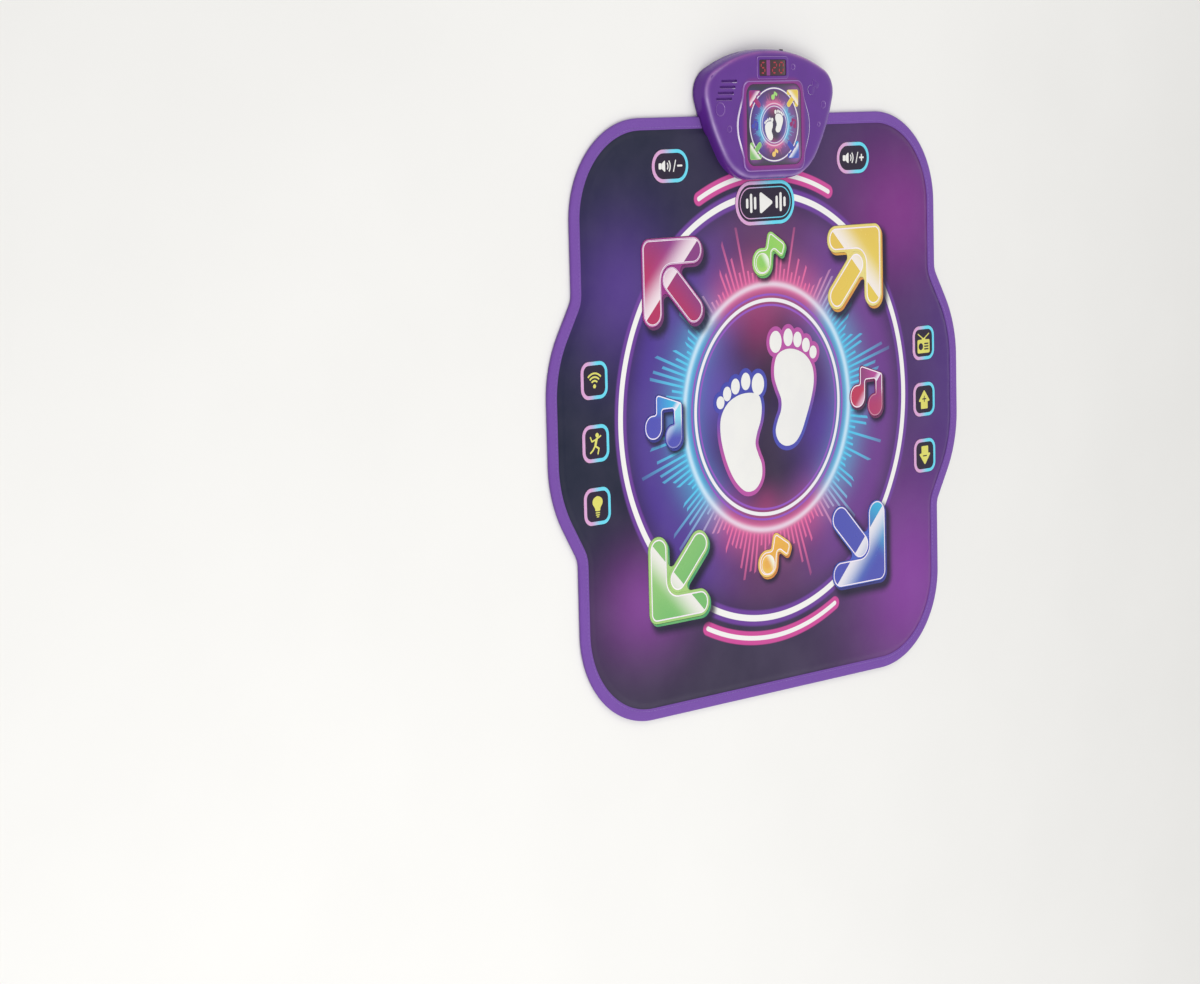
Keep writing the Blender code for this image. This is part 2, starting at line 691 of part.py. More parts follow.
def make_mat(looks):
    bottom = layer("bottom_sheet", (0.0, BOTTOM_SHEET), (EDGE_BOTTOM_LOW, EDGE_BOTTOM_TOP), looks["base"])
    padding_flat = (PADDING_LOW, PADDING_TOP)
    padding = layer("padding_foam", padding_flat, (EDGE_PADDING_LOW, EDGE_PADDING_TOP), looks["foam"])
    cover = layer("top_cover", (COVER_LOW, COVER_TOP), (EDGE_COVER_LOW, EDGE_COVER_TOP), looks["cover"])
    binding = make_binding(looks)
    edge = mat_outline(SLOPE_END + CIRCUIT_MARGIN)
    contact_holes = []
    for _, _, x, y, radius, _ in pad_list():
        contact_holes.append(circle(x, y, radius + CONTACT_CLEARANCE))
    led_holes = [circle(x, y, LED_HOLE_RADIUS) for x, y in led_places()]
    lower = plate("lower_circuit_film", [edge], LOWER_FILM_LOW, LOWER_FILM_TOP, looks["film"])
    spacer = plate("spacer_foam", [edge] + contact_holes + led_holes, SPACER_LOW, SPACER_TOP, looks["foam"])
    upper = plate("upper_circuit_film", [edge] + contact_holes, UPPER_FILM_LOW, UPPER_FILM_TOP, looks["film"])
    windows = []
    for _, corners, x, y, _, _ in pad_list():
        windows.append(placed(outline(corners, -PAD_CLEARANCE), x, y))
    window_cutter = plate("window_cutter", windows, COVER_LOW - OVERCUT, COVER_TOP + OVERCUT)
    cut(cover, window_cutter)
    hole = box_outline(-BOX_CLEARANCE, CUT_CHORD_ERROR)
    seat = plate("box_seat_cutter", [hole], -OVERCUT, PADDING_TOP + GAP / 2)
    passage = plate("box_passage_cutter", [hole], -OVERCUT, COVER_TOP + OVERCUT)
    front = (-BOX_SHOULDER_X - OVERCUT, BOX_FRONT_Y - BOX_CLEARANCE - OVERCUT, -2 * OVERCUT)
    back = (BOX_SHOULDER_X + OVERCUT, MAT_CUT_Y, COVER_TOP + 2 * OVERCUT)
    cut(passage, block("box_passage_front", front, back))
    radius = PILLAR_RADIUS + PILLAR_CLEARANCE
    top = COVER_TOP + OVERCUT
    pillar_holes = cylinders("pillar_hole_cutter", box_screws()[:2], radius, -OVERCUT, top, BAR_SIDES)
    for sheet in (bottom, padding):
        cut(sheet, seat, passage)
    cut(binding, passage)
    for sheet in (lower, spacer, upper, cover):
        cut(sheet, passage, pillar_holes)


def make_leds(looks):
    for number, (x, y) in enumerate(led_places(), 1):
        low = (x - LED_SIZE / 2, y - LED_SIZE / 2, LOWER_FILM_TOP + GAP)
        high = (x + LED_SIZE / 2, y + LED_SIZE / 2, LOWER_FILM_TOP + GAP + LED_HEIGHT)
        block(f"arrow_led_{number}", low, high, looks["led"])


def box_screws():
    """The screws' places, from the front pair to the rear pair."""
    places = [(SCREW_FRONT[0], BOX_FRONT_Y + SCREW_FRONT[1])]
    places.append((SCREW_MIDDLE[0], BOX_FRONT_Y + SCREW_MIDDLE[1]))
    places.append((SCREW_REAR[0], BOX_REAR_Y - SCREW_REAR[1]))
    return [(side * x, y) for x, y in places for side in (-1, 1)]


def make_shell(looks):
    """The open dome of the control box with its wall, its front rim raised over the mat."""
    sections = [(box_outline(), BOX_RIM)]
    for inset, depth in BOX_EDGE:
        sections.append((box_outline(inset), BOX_TOP - depth))
    housing = loft("upper_housing", sections, looks["housing"], open_bottom=True)
    shell = housing.modifiers.new("wall", "SOLIDIFY")
    shell.thickness = BOX_WALL * MM
    shell.offset = -1.0
    shell.use_even_offset = True
    front = (-BOX_SHOULDER_X, BOX_FRONT_Y - OVERCUT, 0.0)
    cut(housing, block("front_rim_cutter", front, (BOX_SHOULDER_X, MAT_CUT_Y, BOX_FRONT_RIM)))
    return housing


def raised(name, outlines, heights):
    """A form that stands on the box's top, from inside its ceiling up through the given heights."""
    sections = [(outlines[0], BOX_CEILING + GAP)]
    sections += list(zip(outlines, heights))
    return loft(name, sections)


def raised_forms():
    """The plateau round the picture, the display's frame, and the rings and the note moulded on the top."""
    corners = [(x, BOX_FRONT_Y + y, radius) for x, y, radius in (PLATEAU_FRONT, PLATEAU_BULGE, PLATEAU_REAR)]
    edges = [outline(mirrored(corners), inset, BOX_CHORD_ERROR) for inset in (0.0, PLATEAU_BEVEL)]
    forms = [raised("plateau", edges, [PLATEAU_TOP - PLATEAU_BEVEL, PLATEAU_TOP])]
    frame = rounded_box(DISPLAY_WIDTH + 2 * DISPLAY_FRAME, DISPLAY_HEIGHT + 2 * DISPLAY_FRAME, DISPLAY_FRAME)
    edges = [placed(outline(frame, inset), 0, DISPLAY_Y) for inset in (0.0, DISPLAY_FRAME_RISE)]
    forms.append(raised("display_frame", edges, [BOX_TOP, BOX_TOP + DISPLAY_FRAME_RISE]))
    for number, (x, from_rear, radius) in enumerate(RELIEF_DISCS, 1):
        y = BOX_REAR_Y - from_rear
        edges = [circle(x, y, radius, TURN_STEPS), circle(x, y, radius - RELIEF, TURN_STEPS)]
        forms.append(raised(f"relief_disc_{number}", edges, [BOX_TOP, BOX_TOP + RELIEF]))
    corners = []
    for corner in single_note_corners():
        corners.append([value * EMBLEM_SCALE for value in corner])
    y = BOX_REAR_Y - EMBLEM_FROM_REAR
    edges = [placed(outline(corners, inset, BOX_CHORD_ERROR), EMBLEM_X, y) for inset in (0.0, RELIEF / 2)]
    forms.append(raised("relief_note", edges, [BOX_TOP, BOX_TOP + RELIEF]))
    return forms


def top_openings():
    """The window of the display and the speaker's slots."""
    window = rounded_box(DISPLAY_WIDTH + 2 * GAP, DISPLAY_HEIGHT + 2 * GAP, DISPLAY_RADIUS + GAP)
    openings = [placed(outline(window), 0, DISPLAY_Y)]
    slot = outline(rounded_box(SLOT_LENGTH, SLOT_HEIGHT, SLOT_HEIGHT / 2))
    for row in range(SLOT_COUNT):
        offset = row - (SLOT_COUNT - 1) / 2
        x = SPEAKER_X - offset * SLOT_STEP
        openings.append(placed(slot, x, BOX_REAR_Y - SPEAKER_FROM_REAR - offset * SLOT_PITCH))
    return plate("top_openings", openings, BOX_CEILING - SLOT_CUT_DEPTH, PLATEAU_TOP + OVERCUT)


def make_upper_housing(looks):
    """The moulded top of the control box, with its plateau, windows, pillars and speaker collar."""
    housing = make_shell(looks)
    top = BOX_CEILING + GAP
    rear_pillars = cylinders("rear_pillars", box_screws()[2:], PILLAR_RADIUS, BOX_RIM, top)
    front_pillars = cylinders("front_pillars", box_screws()[:2], PILLAR_RADIUS, PADDING_TOP + GAP, top)
    join(housing, *raised_forms(), rear_pillars, front_pillars)
    panel = rounded_box(PANEL_WIDTH + 2 * GAP, PANEL_HEIGHT + 2 * GAP, PANEL_RADIUS + GAP)
    panel = placed(outline(panel), 0, BOX_FRONT_Y + PANEL_FROM_FRONT)
    recess = plate("panel_recess", [panel], PANEL_LOW - GAP, PLATEAU_TOP + OVERCUT)
    radius = SCREW_RADIUS + SCREW_CLEARANCE
    hole_top = BOX_FLOOR_TOP + SCREW_LENGTH + SCREW_HOLE_ROOM
    screw_holes = cylinders("screw_hole_cutter", box_screws(), radius, 0.0, hole_top, BAR_SIDES)
    cut(housing, recess, top_openings(), screw_holes, switch_window())
    place = (SPEAKER_X, BOX_REAR_Y - SPEAKER_FROM_REAR)
    rings = [circle(*place, SPEAKER_RADIUS + GAP + wall, 2 * BAR_SIDES) for wall in (COLLAR_WALL, 0.0)]
    join(housing, plate("speaker_collar", rings, BOX_CEILING - COLLAR_HEIGHT, top))


def switch_window():
    """The opening in the rear wall that the switch's knob slides in."""
    room = SWITCH_WINDOW_ROOM
    low = (SWITCH_X - KNOB[0] / 2 - room, BOX_REAR_Y - 6 * BOX_WALL, SWITCH_Z - KNOB[1] / 2 - room)
    high = (SWITCH_X + KNOB[0] / 2 + SWITCH_TRAVEL + room, BOX_REAR_Y + OVERCUT, SWITCH_Z + KNOB[1] / 2 + room)
    return block("switch_window_cutter", low, high)


def make_tray(looks):
    """The open tray behind the mat, the thin tongue under it and the notch that the film's tail passes."""
    sections = [(box_outline(BASE_EDGE), BOX_LIFT), (box_outline(), BOX_LIFT + BASE_EDGE), (box_outline(), EDGE_TOP)]
    housing = loft("lower_housing", sections, looks["housing"])
    hollow = plate("tray_cutter", [box_outline(BOX_WALL)], BOX_FLOOR_TOP, EDGE_TOP + OVERCUT)
    lip_y = MAT_CUT_Y + BOX_WALL
    low = (-BOX_SHOULDER_X, BOX_FRONT_Y - OVERCUT, 0.0)
    cut(hollow, block("tray_front_cutter", low, (BOX_SHOULDER_X, lip_y, EDGE_TOP + 2 * OVERCUT)))
    low = (-BOX_SHOULDER_X, BOX_FRONT_Y - OVERCUT, PADDING_TOP)
    tongue = block("tongue_cutter", low, (BOX_SHOULDER_X, MAT_CUT_Y + GAP, EDGE_TOP + OVERCUT))
    half = TAIL_WIDTH / 2 + TAIL_ROOM
    low = (-half, MAT_CUT_Y - ROOT, PADDING_TOP)
    notch = block("tail_notch_cutter", low, (half, lip_y + ROOT, EDGE_TOP + OVERCUT))
    cut(housing, hollow, tongue, notch)
    return housing


def tray_ribs():
    """Ribs that stiffen the tray's floor between the battery bay and the side walls."""
    ribs = []
    low_x = BAY_HALF_WIDTH + BAY_WALL / 2
    for from_rear in RIBS_FROM_REAR:
        y = BOX_REAR_Y - from_rear
        high_x = widest_x(box_outline(BOX_WALL / 2), y)
        for side in (-1, 1):
            ends = sorted((side * low_x, side * high_x))
            low = (ends[0], y - RIB / 2, BOX_FLOOR_TOP - ROOT)
            high = (ends[1], y + RIB / 2, BOX_FLOOR_TOP + RIB_HEIGHT)
            ribs.append(block(f"tray_rib_{len(ribs) + 1}", low, high))
    return ribs


def cell_dividers():
    """Low ribs on the bay's ceiling, in the valleys between the cells."""
    dividers = []
    low_z = BAY_CEILING - DIVIDER_DEPTH
    for number in range(1, CELL_COUNT):
        x = (number - CELL_COUNT / 2) * CELL_PITCH
        low = (x - DIVIDER / 2, BAY_FRONT_Y + 2 * CONTACT_ROOM, low_z)
        high = (x + DIVIDER / 2, BAY_REAR_Y - 2 * CONTACT_ROOM, BAY_CEILING + BAY_WALL / 2)
        dividers.append(block(f"cell_divider_{number}", low, high))
    return dividers


def make_lower_housing(looks):
    """The moulded base: a tray behind the mat, a tongue under it, the battery bay, bosses, ribs and posts."""
    housing = make_tray(looks)
    wall = BAY_WALL
    root_z = BOX_FLOOR_TOP - ROOT
    low = (-BAY_HALF_WIDTH - wall, BAY_FRONT_Y - wall, root_z)
    bay = block("bay_walls", low, (BAY_HALF_WIDTH + wall, BAY_REAR_Y + wall, BAY_TOP))
    half = DOOR_TAB_WIDTH / 2 + DOOR_BOSS_MARGIN
    boss_rear = DOOR_SCREW_Y + DOOR_TAB_LENGTH / 2 + DOOR_BOSS_MARGIN
    boss = block("door_boss", (-half, BAY_REAR_Y, root_z), (half, boss_rear, DOOR_BOSS_HEIGHT))
    rear_bosses = cylinders("rear_bosses", box_screws()[2:], PILLAR_RADIUS, root_z, EDGE_TOP)
    posts = cylinders("board_posts", board_corners(), POST_RADIUS, root_z, BOARD_LOW - GAP, BAR_SIDES)
    join(housing, bay, boss, rear_bosses, posts, *tray_ribs())
    low = (-BAY_HALF_WIDTH, BAY_FRONT_Y, 0.0)
    bay_room = block("bay_room", low, (BAY_HALF_WIDTH, BAY_REAR_Y, BAY_CEILING))
    half = DOOR_TAB_WIDTH / 2 + GAP
    low = (-half, BAY_REAR_Y - ROOT, 0.0)
    tab_room = block("tab_room", low, (half, BAY_REAR_Y + DOOR_TAB_LENGTH, BOX_FLOOR_TOP + GAP))
    cut(housing, bay_room, tab_room)
    join(housing, *cell_dividers())
    for x in lug_places():
        half = DOOR_LUG_WIDTH / 2 + 2 * GAP
        low = (x - half, BAY_FRONT_Y - DOOR_LUG_REACH - 2 * GAP, BOX_FLOOR_TOP)
        high = (x + half, BAY_FRONT_Y + ROOT, BOX_FLOOR_TOP + DOOR_LUG_SWING)
        cut(housing, block(f"lug_room_{'left' if x < 0 else 'right'}", low, high))
    radius = SCREW_RADIUS + SCREW_CLEARANCE
    holes = cylinders("base_screw_holes", box_screws(), radius, 0.0, EDGE_TOP + OVERCUT, BAR_SIDES)
    radius = SCREW_HEAD_RADIUS + SCREW_CLEARANCE
    seats = cylinders("base_screw_seats", box_screws(), radius, 0.0, BOX_LIFT + SCREW_HEAD + GAP)
    radius = SCREW_RADIUS + DOOR_SCREW_CLEARANCE
    top = DOOR_BOSS_HEIGHT + OVERCUT
    door_hole = cylinders("door_screw_hole", [(0, DOOR_SCREW_Y)], radius, 0.0, top, BAR_SIDES)
    foot_seats = cylinders("foot_seats", foot_places(), FOOT_RADIUS + GAP, 0.0, BOX_LIFT + FOOT_SEAT)
    cut(housing, holes, seats, door_hole, foot_seats)


def board_corners():
    half = BOARD_HALF_WIDTH - POST_INSET
    rear = BOARD_REAR_Y - POST_INSET
    front = BOARD_REAR_Y - BOARD_DEPTH + POST_INSET
    return [(side * half, y) for y in (front, rear) for side in (-1, 1)]


def foot_places():
    places = [(FOOT_FRONT[0], BOX_FRONT_Y + FOOT_FRONT[1]), (FOOT_REAR[0], BOX_REAR_Y - FOOT_REAR[1])]
    return [(side * x, y) for x, y in places for side in (-1, 1)]


def lug_places():
    return (-CELL_PITCH, CELL_PITCH)


def screw_profile(head_low, head, length):
    """A pan-head screw that stands on its head, its point up."""
    head_top = head_low + head
    point = head_top + length
    return [
        (0, point),
        (SCREW_RADIUS * 0.6, point),
        (SCREW_RADIUS, point - SCREW_POINT),
        (SCREW_RADIUS, head_top),
        (SCREW_HEAD_RADIUS, head_top),
        (SCREW_HEAD_RADIUS, head_low + head / 3),
        (SCREW_HEAD_RADIUS - SCREW_HEAD_EDGE, head_low),
        (0, head_low),
    ]


def make_screws(looks):
    for number, (x, y) in enumerate(box_screws(), 1):
        profile = screw_profile(BOX_LIFT + GAP, SCREW_HEAD, SCREW_LENGTH)
        screw = turned(f"housing_screw_{number}", profile, looks["steel"], BAR_SIDES)
        screw.location = (x * MM, y * MM, 0)


def make_panel_and_display(looks):
    panel = outline(rounded_box(PANEL_WIDTH, PANEL_HEIGHT, PANEL_RADIUS))
    panel_y = BOX_FRONT_Y + PANEL_FROM_FRONT
    plate("picture_panel", [placed(panel, 0, panel_y)], PANEL_LOW, PANEL_LOW + PANEL, looks["panel"])
    flange_top = BOX_CEILING - LENS_DROP
    flange_low = flange_top - LENS_FLANGE_HEIGHT
    window = placed(outline(rounded_box(DISPLAY_WIDTH, DISPLAY_HEIGHT, DISPLAY_RADIUS)), 0, DISPLAY_Y)
    body_low = flange_low + LENS_FLANGE_HEIGHT / 2
    lens = plate("display_lens", [window], body_low, BOX_TOP + LENS_PROUD, looks["lens"])
    half_x = DISPLAY_WIDTH / 2 + LENS_FLANGE
    half_y = DISPLAY_HEIGHT / 2 + LENS_FLANGE
    flange = placed(outline(rounded_box(2 * half_x, 2 * half_y, DISPLAY_RADIUS)), 0, DISPLAY_Y)
    join(lens, plate("lens_flange", [flange], flange_low, flange_top))
    module_top = flange_low - GAP
    low = (-half_x, DISPLAY_Y - half_y, module_top - DISPLAY_MODULE)
    block("display_module", low, (half_x, DISPLAY_Y + half_y, module_top), looks["module"])


def make_speaker(looks):
    """A pressed frame with its magnet, and the paper cone in it."""
    place = (SPEAKER_X * MM, (BOX_REAR_Y - SPEAKER_FROM_REAR) * MM, 0)
    top = BOX_CEILING - GAP
    low = top - SPEAKER_HEIGHT
    rim_low = top - SPEAKER_RIM_HEIGHT
    basket = SPEAKER_RADIUS - SPEAKER_RIM
    profile = [
        (0, low + 1.0),
        (MAGNET_RADIUS + 1.0, low + 1.0),
        (basket - 1.0, rim_low),
        (basket, top),
        (SPEAKER_RADIUS, top),
        (SPEAKER_RADIUS, rim_low),
        (basket, rim_low),
        (MAGNET_RADIUS + 2.0, low),
        (MAGNET_RADIUS, low),
        (MAGNET_RADIUS, low - MAGNET_HEIGHT),
        (0, low - MAGNET_HEIGHT),
    ]
    turned("speaker_frame", profile, looks["steel"]).location = place
    cone_top = top - 1.0
    cap_top = low + 3.2
    cone_profile = [
        (0, cap_top - CONE / 2),
        (CONE_DUST_CAP_RADIUS, cap_top),
        (basket - 2.0, cone_top),
        (basket - 2.0, cone_top - CONE),
        (CONE_DUST_CAP_RADIUS, cap_top - 1.0),
        (0, cap_top - 1.0 - CONE / 2),
    ]
    turned("speaker_cone", cone_profile, looks["cone"]).location = place


def make_board(looks):
    low = (-BOARD_HALF_WIDTH, BOARD_REAR_Y - BOARD_DEPTH, BOARD_LOW)
    block("main_board", low, (BOARD_HALF_WIDTH, BOARD_REAR_Y, BOARD_LOW + BOARD), looks["board"])


def make_tail(looks):
    """The flat tail that leads the circuit films to the board, with the bar that clamps it."""
    board_front = BOARD_REAR_Y - BOARD_DEPTH
    low = LOWER_FILM_LOW + TAIL / 2
    high = BOARD_LOW + BOARD + GAP + TAIL / 2
    start = MAT_CUT_Y + GAP
    line = [
        (start, low),
        (start + 5.0, low),
        (board_front - 4.0, low + 6.0),
        (board_front - 2.0, high - 2.5),
        (board_front - 1.2, high),
        (board_front + CLAMP_FROM_EDGE + CLAMP_DEPTH, high),
    ]
    normals = []
    for i in range(len(line)):
        before = Vector(line[i]) - Vector(line[max(i - 1, 0)])
        after = Vector(line[min(i + 1, len(line) - 1)]) - Vector(line[i])
        way = (before.normalized() + after.normalized()).normalized()
        normals.append(Vector((-way.y, way.x)) * TAIL / 2)
    upper = [tuple(Vector(p) + n) for p, n in zip(line, normals)]
    lower = [tuple(Vector(p) - n) for p, n in zip(line, normals)]
    half = TAIL_WIDTH / 2
    tail = plate("flex_tail", [lower + upper[::-1]], -half, half, looks["film"])
    tail.matrix_world = Matrix(((0, 0, 1, 0), (1, 0, 0, 0), (0, 1, 0, 0), (0, 0, 0, 1)))
    clamp_low = high + TAIL / 2 + GAP
    clamp_y = board_front + CLAMP_FROM_EDGE
    half += CLAMP_FROM_EDGE
    clamp_high = (half, clamp_y + CLAMP_DEPTH, clamp_low + CLAMP_HEIGHT)
    block("tail_clamp", (-half, clamp_y, clamp_low), clamp_high, looks["black"])


def make_batteries(looks):
    for number in range(CELL_COUNT):
        x = (number - (CELL_COUNT - 1) / 2) * CELL_PITCH
        profile = [
            (0, CELL_LENGTH + CELL_NUB),
            (CELL_NUB_RADIUS, CELL_LENGTH + CELL_NUB),
            (CELL_NUB_RADIUS, CELL_LENGTH),
            (CELL_RADIUS - CELL_EDGE, CELL_LENGTH),
            (CELL_RADIUS, CELL_LENGTH - CELL_EDGE),
            (CELL_RADIUS, CELL_EDGE),
            (CELL_RADIUS - CELL_EDGE, 0),
            (0, 0),
        ]
        cell = turned(f"battery_{number + 1}", profile, looks["cell"])
        way = 1 if number % 2 else -1
        cell.rotation_euler.x = -way * math.pi / 2
        end = BAY_FRONT_Y + CONTACT_ROOM if way > 0 else BAY_REAR_Y - CONTACT_ROOM
        cell.location = (x * MM, end * MM, CELL_Z * MM)
    for name, wall_y, way in (("front", BAY_FRONT_Y, 1), ("rear", BAY_REAR_Y, -1)):
        near = wall_y + way * GAP
        far = near + way * CONTACT_PLATE
        half = BAY_HALF_WIDTH - CONTACT_SIDE_ROOM
        low = (-half, min(near, far), CELL_Z - CONTACT_BELOW)
        high = (half, max(near, far), CELL_Z + CONTACT_ABOVE)
        contact = block(f"battery_contact_{name}", low, high, looks["spring"])
        shape = bmesh.new()
        length = CONTACT_ROOM - 3 * GAP
        for number in range(CELL_COUNT):
            x = (number - (CELL_COUNT - 1) / 2) * CELL_PITCH
            place = Matrix.Translation((x * MM, (near + way * length / 2) * MM, CELL_Z * MM))
            bmesh.ops.create_cone(
                shape,
                cap_ends=True,
                segments=BAR_SIDES,
                radius1=SPRING_RADIUS * MM,
                radius2=SPRING_RADIUS * MM,
                depth=length * MM,
                matrix=place @ Matrix.Rotation(math.pi / 2, 4, "X"),
            )
        join(contact, add_object(f"springs_{name}", finish_mesh(shape, f"springs_{name}")))


def make_door(looks):
    """The battery door, which tilts down about its lugs, and its captive screw."""
    hinge = bpy.data.objects.new("door_hinge", None)
    bpy.data.collections["dance_mat"].objects.link(hinge)
    hinge.location = (0, DOOR_AXIS_Y * MM, DOOR_AXIS_Z * MM)
    half = BAY_HALF_WIDTH - GAP
    radius = BOX_FLOOR / 2
    rear = BAY_REAR_Y - GAP - DOOR_AXIS_Y
    edge = [(-radius * math.sin(a), radius * math.cos(a)) for a in (math.pi * k / 6 for k in range(7))]
    leaf = plate("battery_door", [edge + [(rear, -radius), (rear, radius)]], -half, half, looks["housing"])
    leaf.matrix_world = Matrix(((0, 0, 1, 0), (1, 0, 0, 0), (0, 1, 0, 0), (0, 0, 0, 1)))
    leaf.parent = hinge
    tab_half = DOOR_TAB_WIDTH / 2
    tab_end = BAY_REAR_Y - GAP + DOOR_TAB_LENGTH
    low = (-tab_half, BAY_REAR_Y - 2 * ROOT, BOX_LIFT)
    join(leaf, block("door_tab", low, (tab_half, tab_end, BOX_FLOOR_TOP)))
    for x in lug_places():
        side = "left" if x < 0 else "right"
        half = DOOR_LUG_WIDTH / 2
        lug_low = BOX_FLOOR_TOP + GAP
        low = (x - half, DOOR_AXIS_Y - DOOR_LUG_REACH, lug_low)
        lug = block(f"door_lug_{side}", low, (x + half, DOOR_AXIS_Y + DOOR_LUG_HEEL, lug_low + DOOR_LUG))
        half -= GAP
        low = (x - half, DOOR_AXIS_Y + 2 * GAP, BOX_FLOOR_TOP - ROOT / 2)
        high = (x + half, DOOR_AXIS_Y + DOOR_LUG_HEEL - GAP, lug_low + DOOR_LUG / 2)
        join(leaf, block(f"door_lug_root_{side}", low, high), lug)
    for number in range(GRIP_COUNT):
        y = BAY_REAR_Y - GRIP_FROM_REAR - number * GRIP_PITCH
        low = (-GRIP_LENGTH / 2, y - GRIP_WIDTH / 2, 0.0)
        high = (GRIP_LENGTH / 2, y + GRIP_WIDTH / 2, BOX_LIFT + GRIP_DEPTH)
        cut(leaf, block(f"door_grip_{number + 1}", low, high))
    place = [(0, DOOR_SCREW_Y)]
    radius = SCREW_RADIUS + SCREW_CLEARANCE
    hole = cylinders("door_hole", place, radius, 0.0, BOX_FLOOR_TOP + OVERCUT, BAR_SIDES)
    radius = SCREW_HEAD_RADIUS + SCREW_CLEARANCE
    seat = cylinders("door_screw_seat", place, radius, 0.0, BOX_LIFT + DOOR_SCREW_HEAD + 2 * GAP)
    cut(leaf, hole, seat)
    profile = screw_profile(BOX_LIFT + GAP, DOOR_SCREW_HEAD, DOOR_SCREW_LENGTH)
    screw = turned("battery_door_screw", profile, looks["steel"], BAR_SIDES)
    screw.parent = hinge
    screw.location = (0, (DOOR_SCREW_Y - DOOR_AXIS_Y) * MM, -DOOR_AXIS_Z * MM)


def widest_x(points, y):
    """The largest x at which an outline crosses the given y."""
    found = []
    for (x1, y1), (x2, y2) in zip(points, points[1:] + points[:1]):
        if min(y1, y2) <= y <= max(y1, y2) and y1 != y2:
            found.append(x1 + (x2 - x1) * (y - y1) / (y2 - y1))
    return max(found)


def rear_wall_y(x, inset):
    """Where the rear wall, moved inwards by inset, crosses the given x."""
    points = box_outline(inset)
    for (x1, y1), (x2, y2) in zip(points, points[1:] + points[:1]):
        if x2 <= x <= x1 and min(y1, y2) > BOX_FRONT_Y + BOX_DEPTH / 2:
            return y1 + (y2 - y1) * (x - x1) / (x2 - x1)
    return BOX_REAR_Y - inset


def make_switch(looks):
    """A slide switch behind the rear wall; its knob moves along the wall."""
    middle = SWITCH_X + SWITCH_TRAVEL / 2
    front = rear_wall_y(middle + SWITCH_BODY[0] / 2, BOX_WALL + BOX_EDGE[1][0]) - GAP
    low = (middle - SWITCH_BODY[0] / 2, front - SWITCH_BODY[1], SWITCH_Z - SWITCH_BODY[2] / 2)
    high = (middle + SWITCH_BODY[0] / 2, front, SWITCH_Z + SWITCH_BODY[2] / 2)
    body = block("power_switch_body", low, high, looks["black"])
    room = SWITCH_WINDOW_ROOM / 2
    low = (SWITCH_X - KNOB[0] / 2 - room, front - SWITCH_SLOT_DEPTH, SWITCH_Z - KNOB[1] / 2 - room)
    high = (SWITCH_X + KNOB[0] / 2 + SWITCH_TRAVEL + room, front + OVERCUT, SWITCH_Z + KNOB[1] / 2 + room)
    cut(body, block("switch_slot", low, high))
    low = (SWITCH_X - KNOB[0] / 2, front - SWITCH_SLOT_DEPTH + GAP, SWITCH_Z - KNOB[1] / 2)
    high = (SWITCH_X + KNOB[0] / 2, rear_wall_y(SWITCH_X, 0.0) + KNOB_PROUD, SWITCH_Z + KNOB[1] / 2)
    block("power_switch_slider", low, high, looks["black"])


def make_feet(looks):
    for number, (x, y) in enumerate(foot_places(), 1):
        top = BOX_LIFT + FOOT_SEAT - GAP
        edge = FOOT_EDGE
        profile = [(0, top), (FOOT_RADIUS, top), (FOOT_RADIUS, edge), (FOOT_RADIUS - edge, 0), (0, 0)]
        foot = turned(f"rubber_foot_{number}", profile, looks["rubber"])
        foot.location = (x * MM, y * MM, 0)


def make_looks():
    return {
        "cover": material("cover_print", "33285e", 0.45),
        "base": material("base_cloth", "3b3b42", 0.85),
        "foam": material("foam", "d8d4cc", 0.95),
        "film": material("circuit_film", "c9c2a0", 0.35),
        "binding": material("binding_cloth", "7b5dac", 0.7),
        "pad_red": material("pad_red", "b0246e", 0.35),
        "pad_yellow": material("pad_yellow", "e8c558", 0.35),
        "pad_green": material("pad_green", "7fc062", 0.35),
        "pad_blue": material("pad_blue", "3f52b8", 0.35),
        "pad_orange": material("pad_orange", "e6b04a", 0.35),
        "pad_dark": material("pad_dark", "2b2740", 0.4),
        "housing": material("housing_plastic", "6f3f98", 0.28),
        "panel": material("panel_print", "2c2350", 0.2),
        "lens": material("display_lens", "3a1626", 0.1),
        "module": material("display_module", "1c1214", 0.5),
        "board": material("circuit_board", "1f6b3a", 0.5),
        "led": material("led", "f4f1de", 0.3),
        "steel": material("steel", "a7a9ac", 0.35, 1.0),
        "spring": material("nickel_spring", "c4c2ba", 0.3, 1.0),
        "cell": material("battery_wrap", "2f3338", 0.4),
        "cone": material("speaker_cone", "26262a", 0.9),
        "black": material("black_plastic", "1d1d20", 0.45),
        "rubber": material("foot_rubber", "2a2a2d", 0.9),
    }


def clear_scene():
    for leftover in list(bpy.data.objects):
        bpy.data.objects.remove(leftover, do_unlink=True)
    for name in ("dance_mat", "helpers"):
        bpy.context.scene.collection.children.link(bpy.data.collections.new(name))


def shade():
    for made in bpy.data.collections["dance_mat"].objects:
        if made.type == "MESH":
            made.data.shade_smooth()
            made.data.set_sharp_from_angle(angle=math.radians(32))


def main():
    clear_scene()
    looks = make_looks()
    make_mat(looks)
    make_pads(looks)
    make_leds(looks)
    make_lower_housing(looks)
    make_upper_housing(looks)
    make_panel_and_display(looks)
    make_board(looks)
    make_speaker(looks)
    make_tail(looks)
    make_batteries(looks)
    make_door(looks)
    make_screws(looks)
    make_switch(looks)
    make_feet(looks)
    shade()
    bpy.data.collections["helpers"].hide_render = True
    bpy.context.view_layer.update()


main()
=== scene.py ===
"""Looks of an electronic dance mat: printed cover, press pads and control box, built round its CAD frame.

Sizes are in millimetres in the frame's axes: +X right, +Y to the control box, +Z up. MM turns them into
metres.
"""

import json
import math
from collections import namedtuple

import bpy
import numpy as np
from mathutils import Euler, Matrix, Vector, geometry

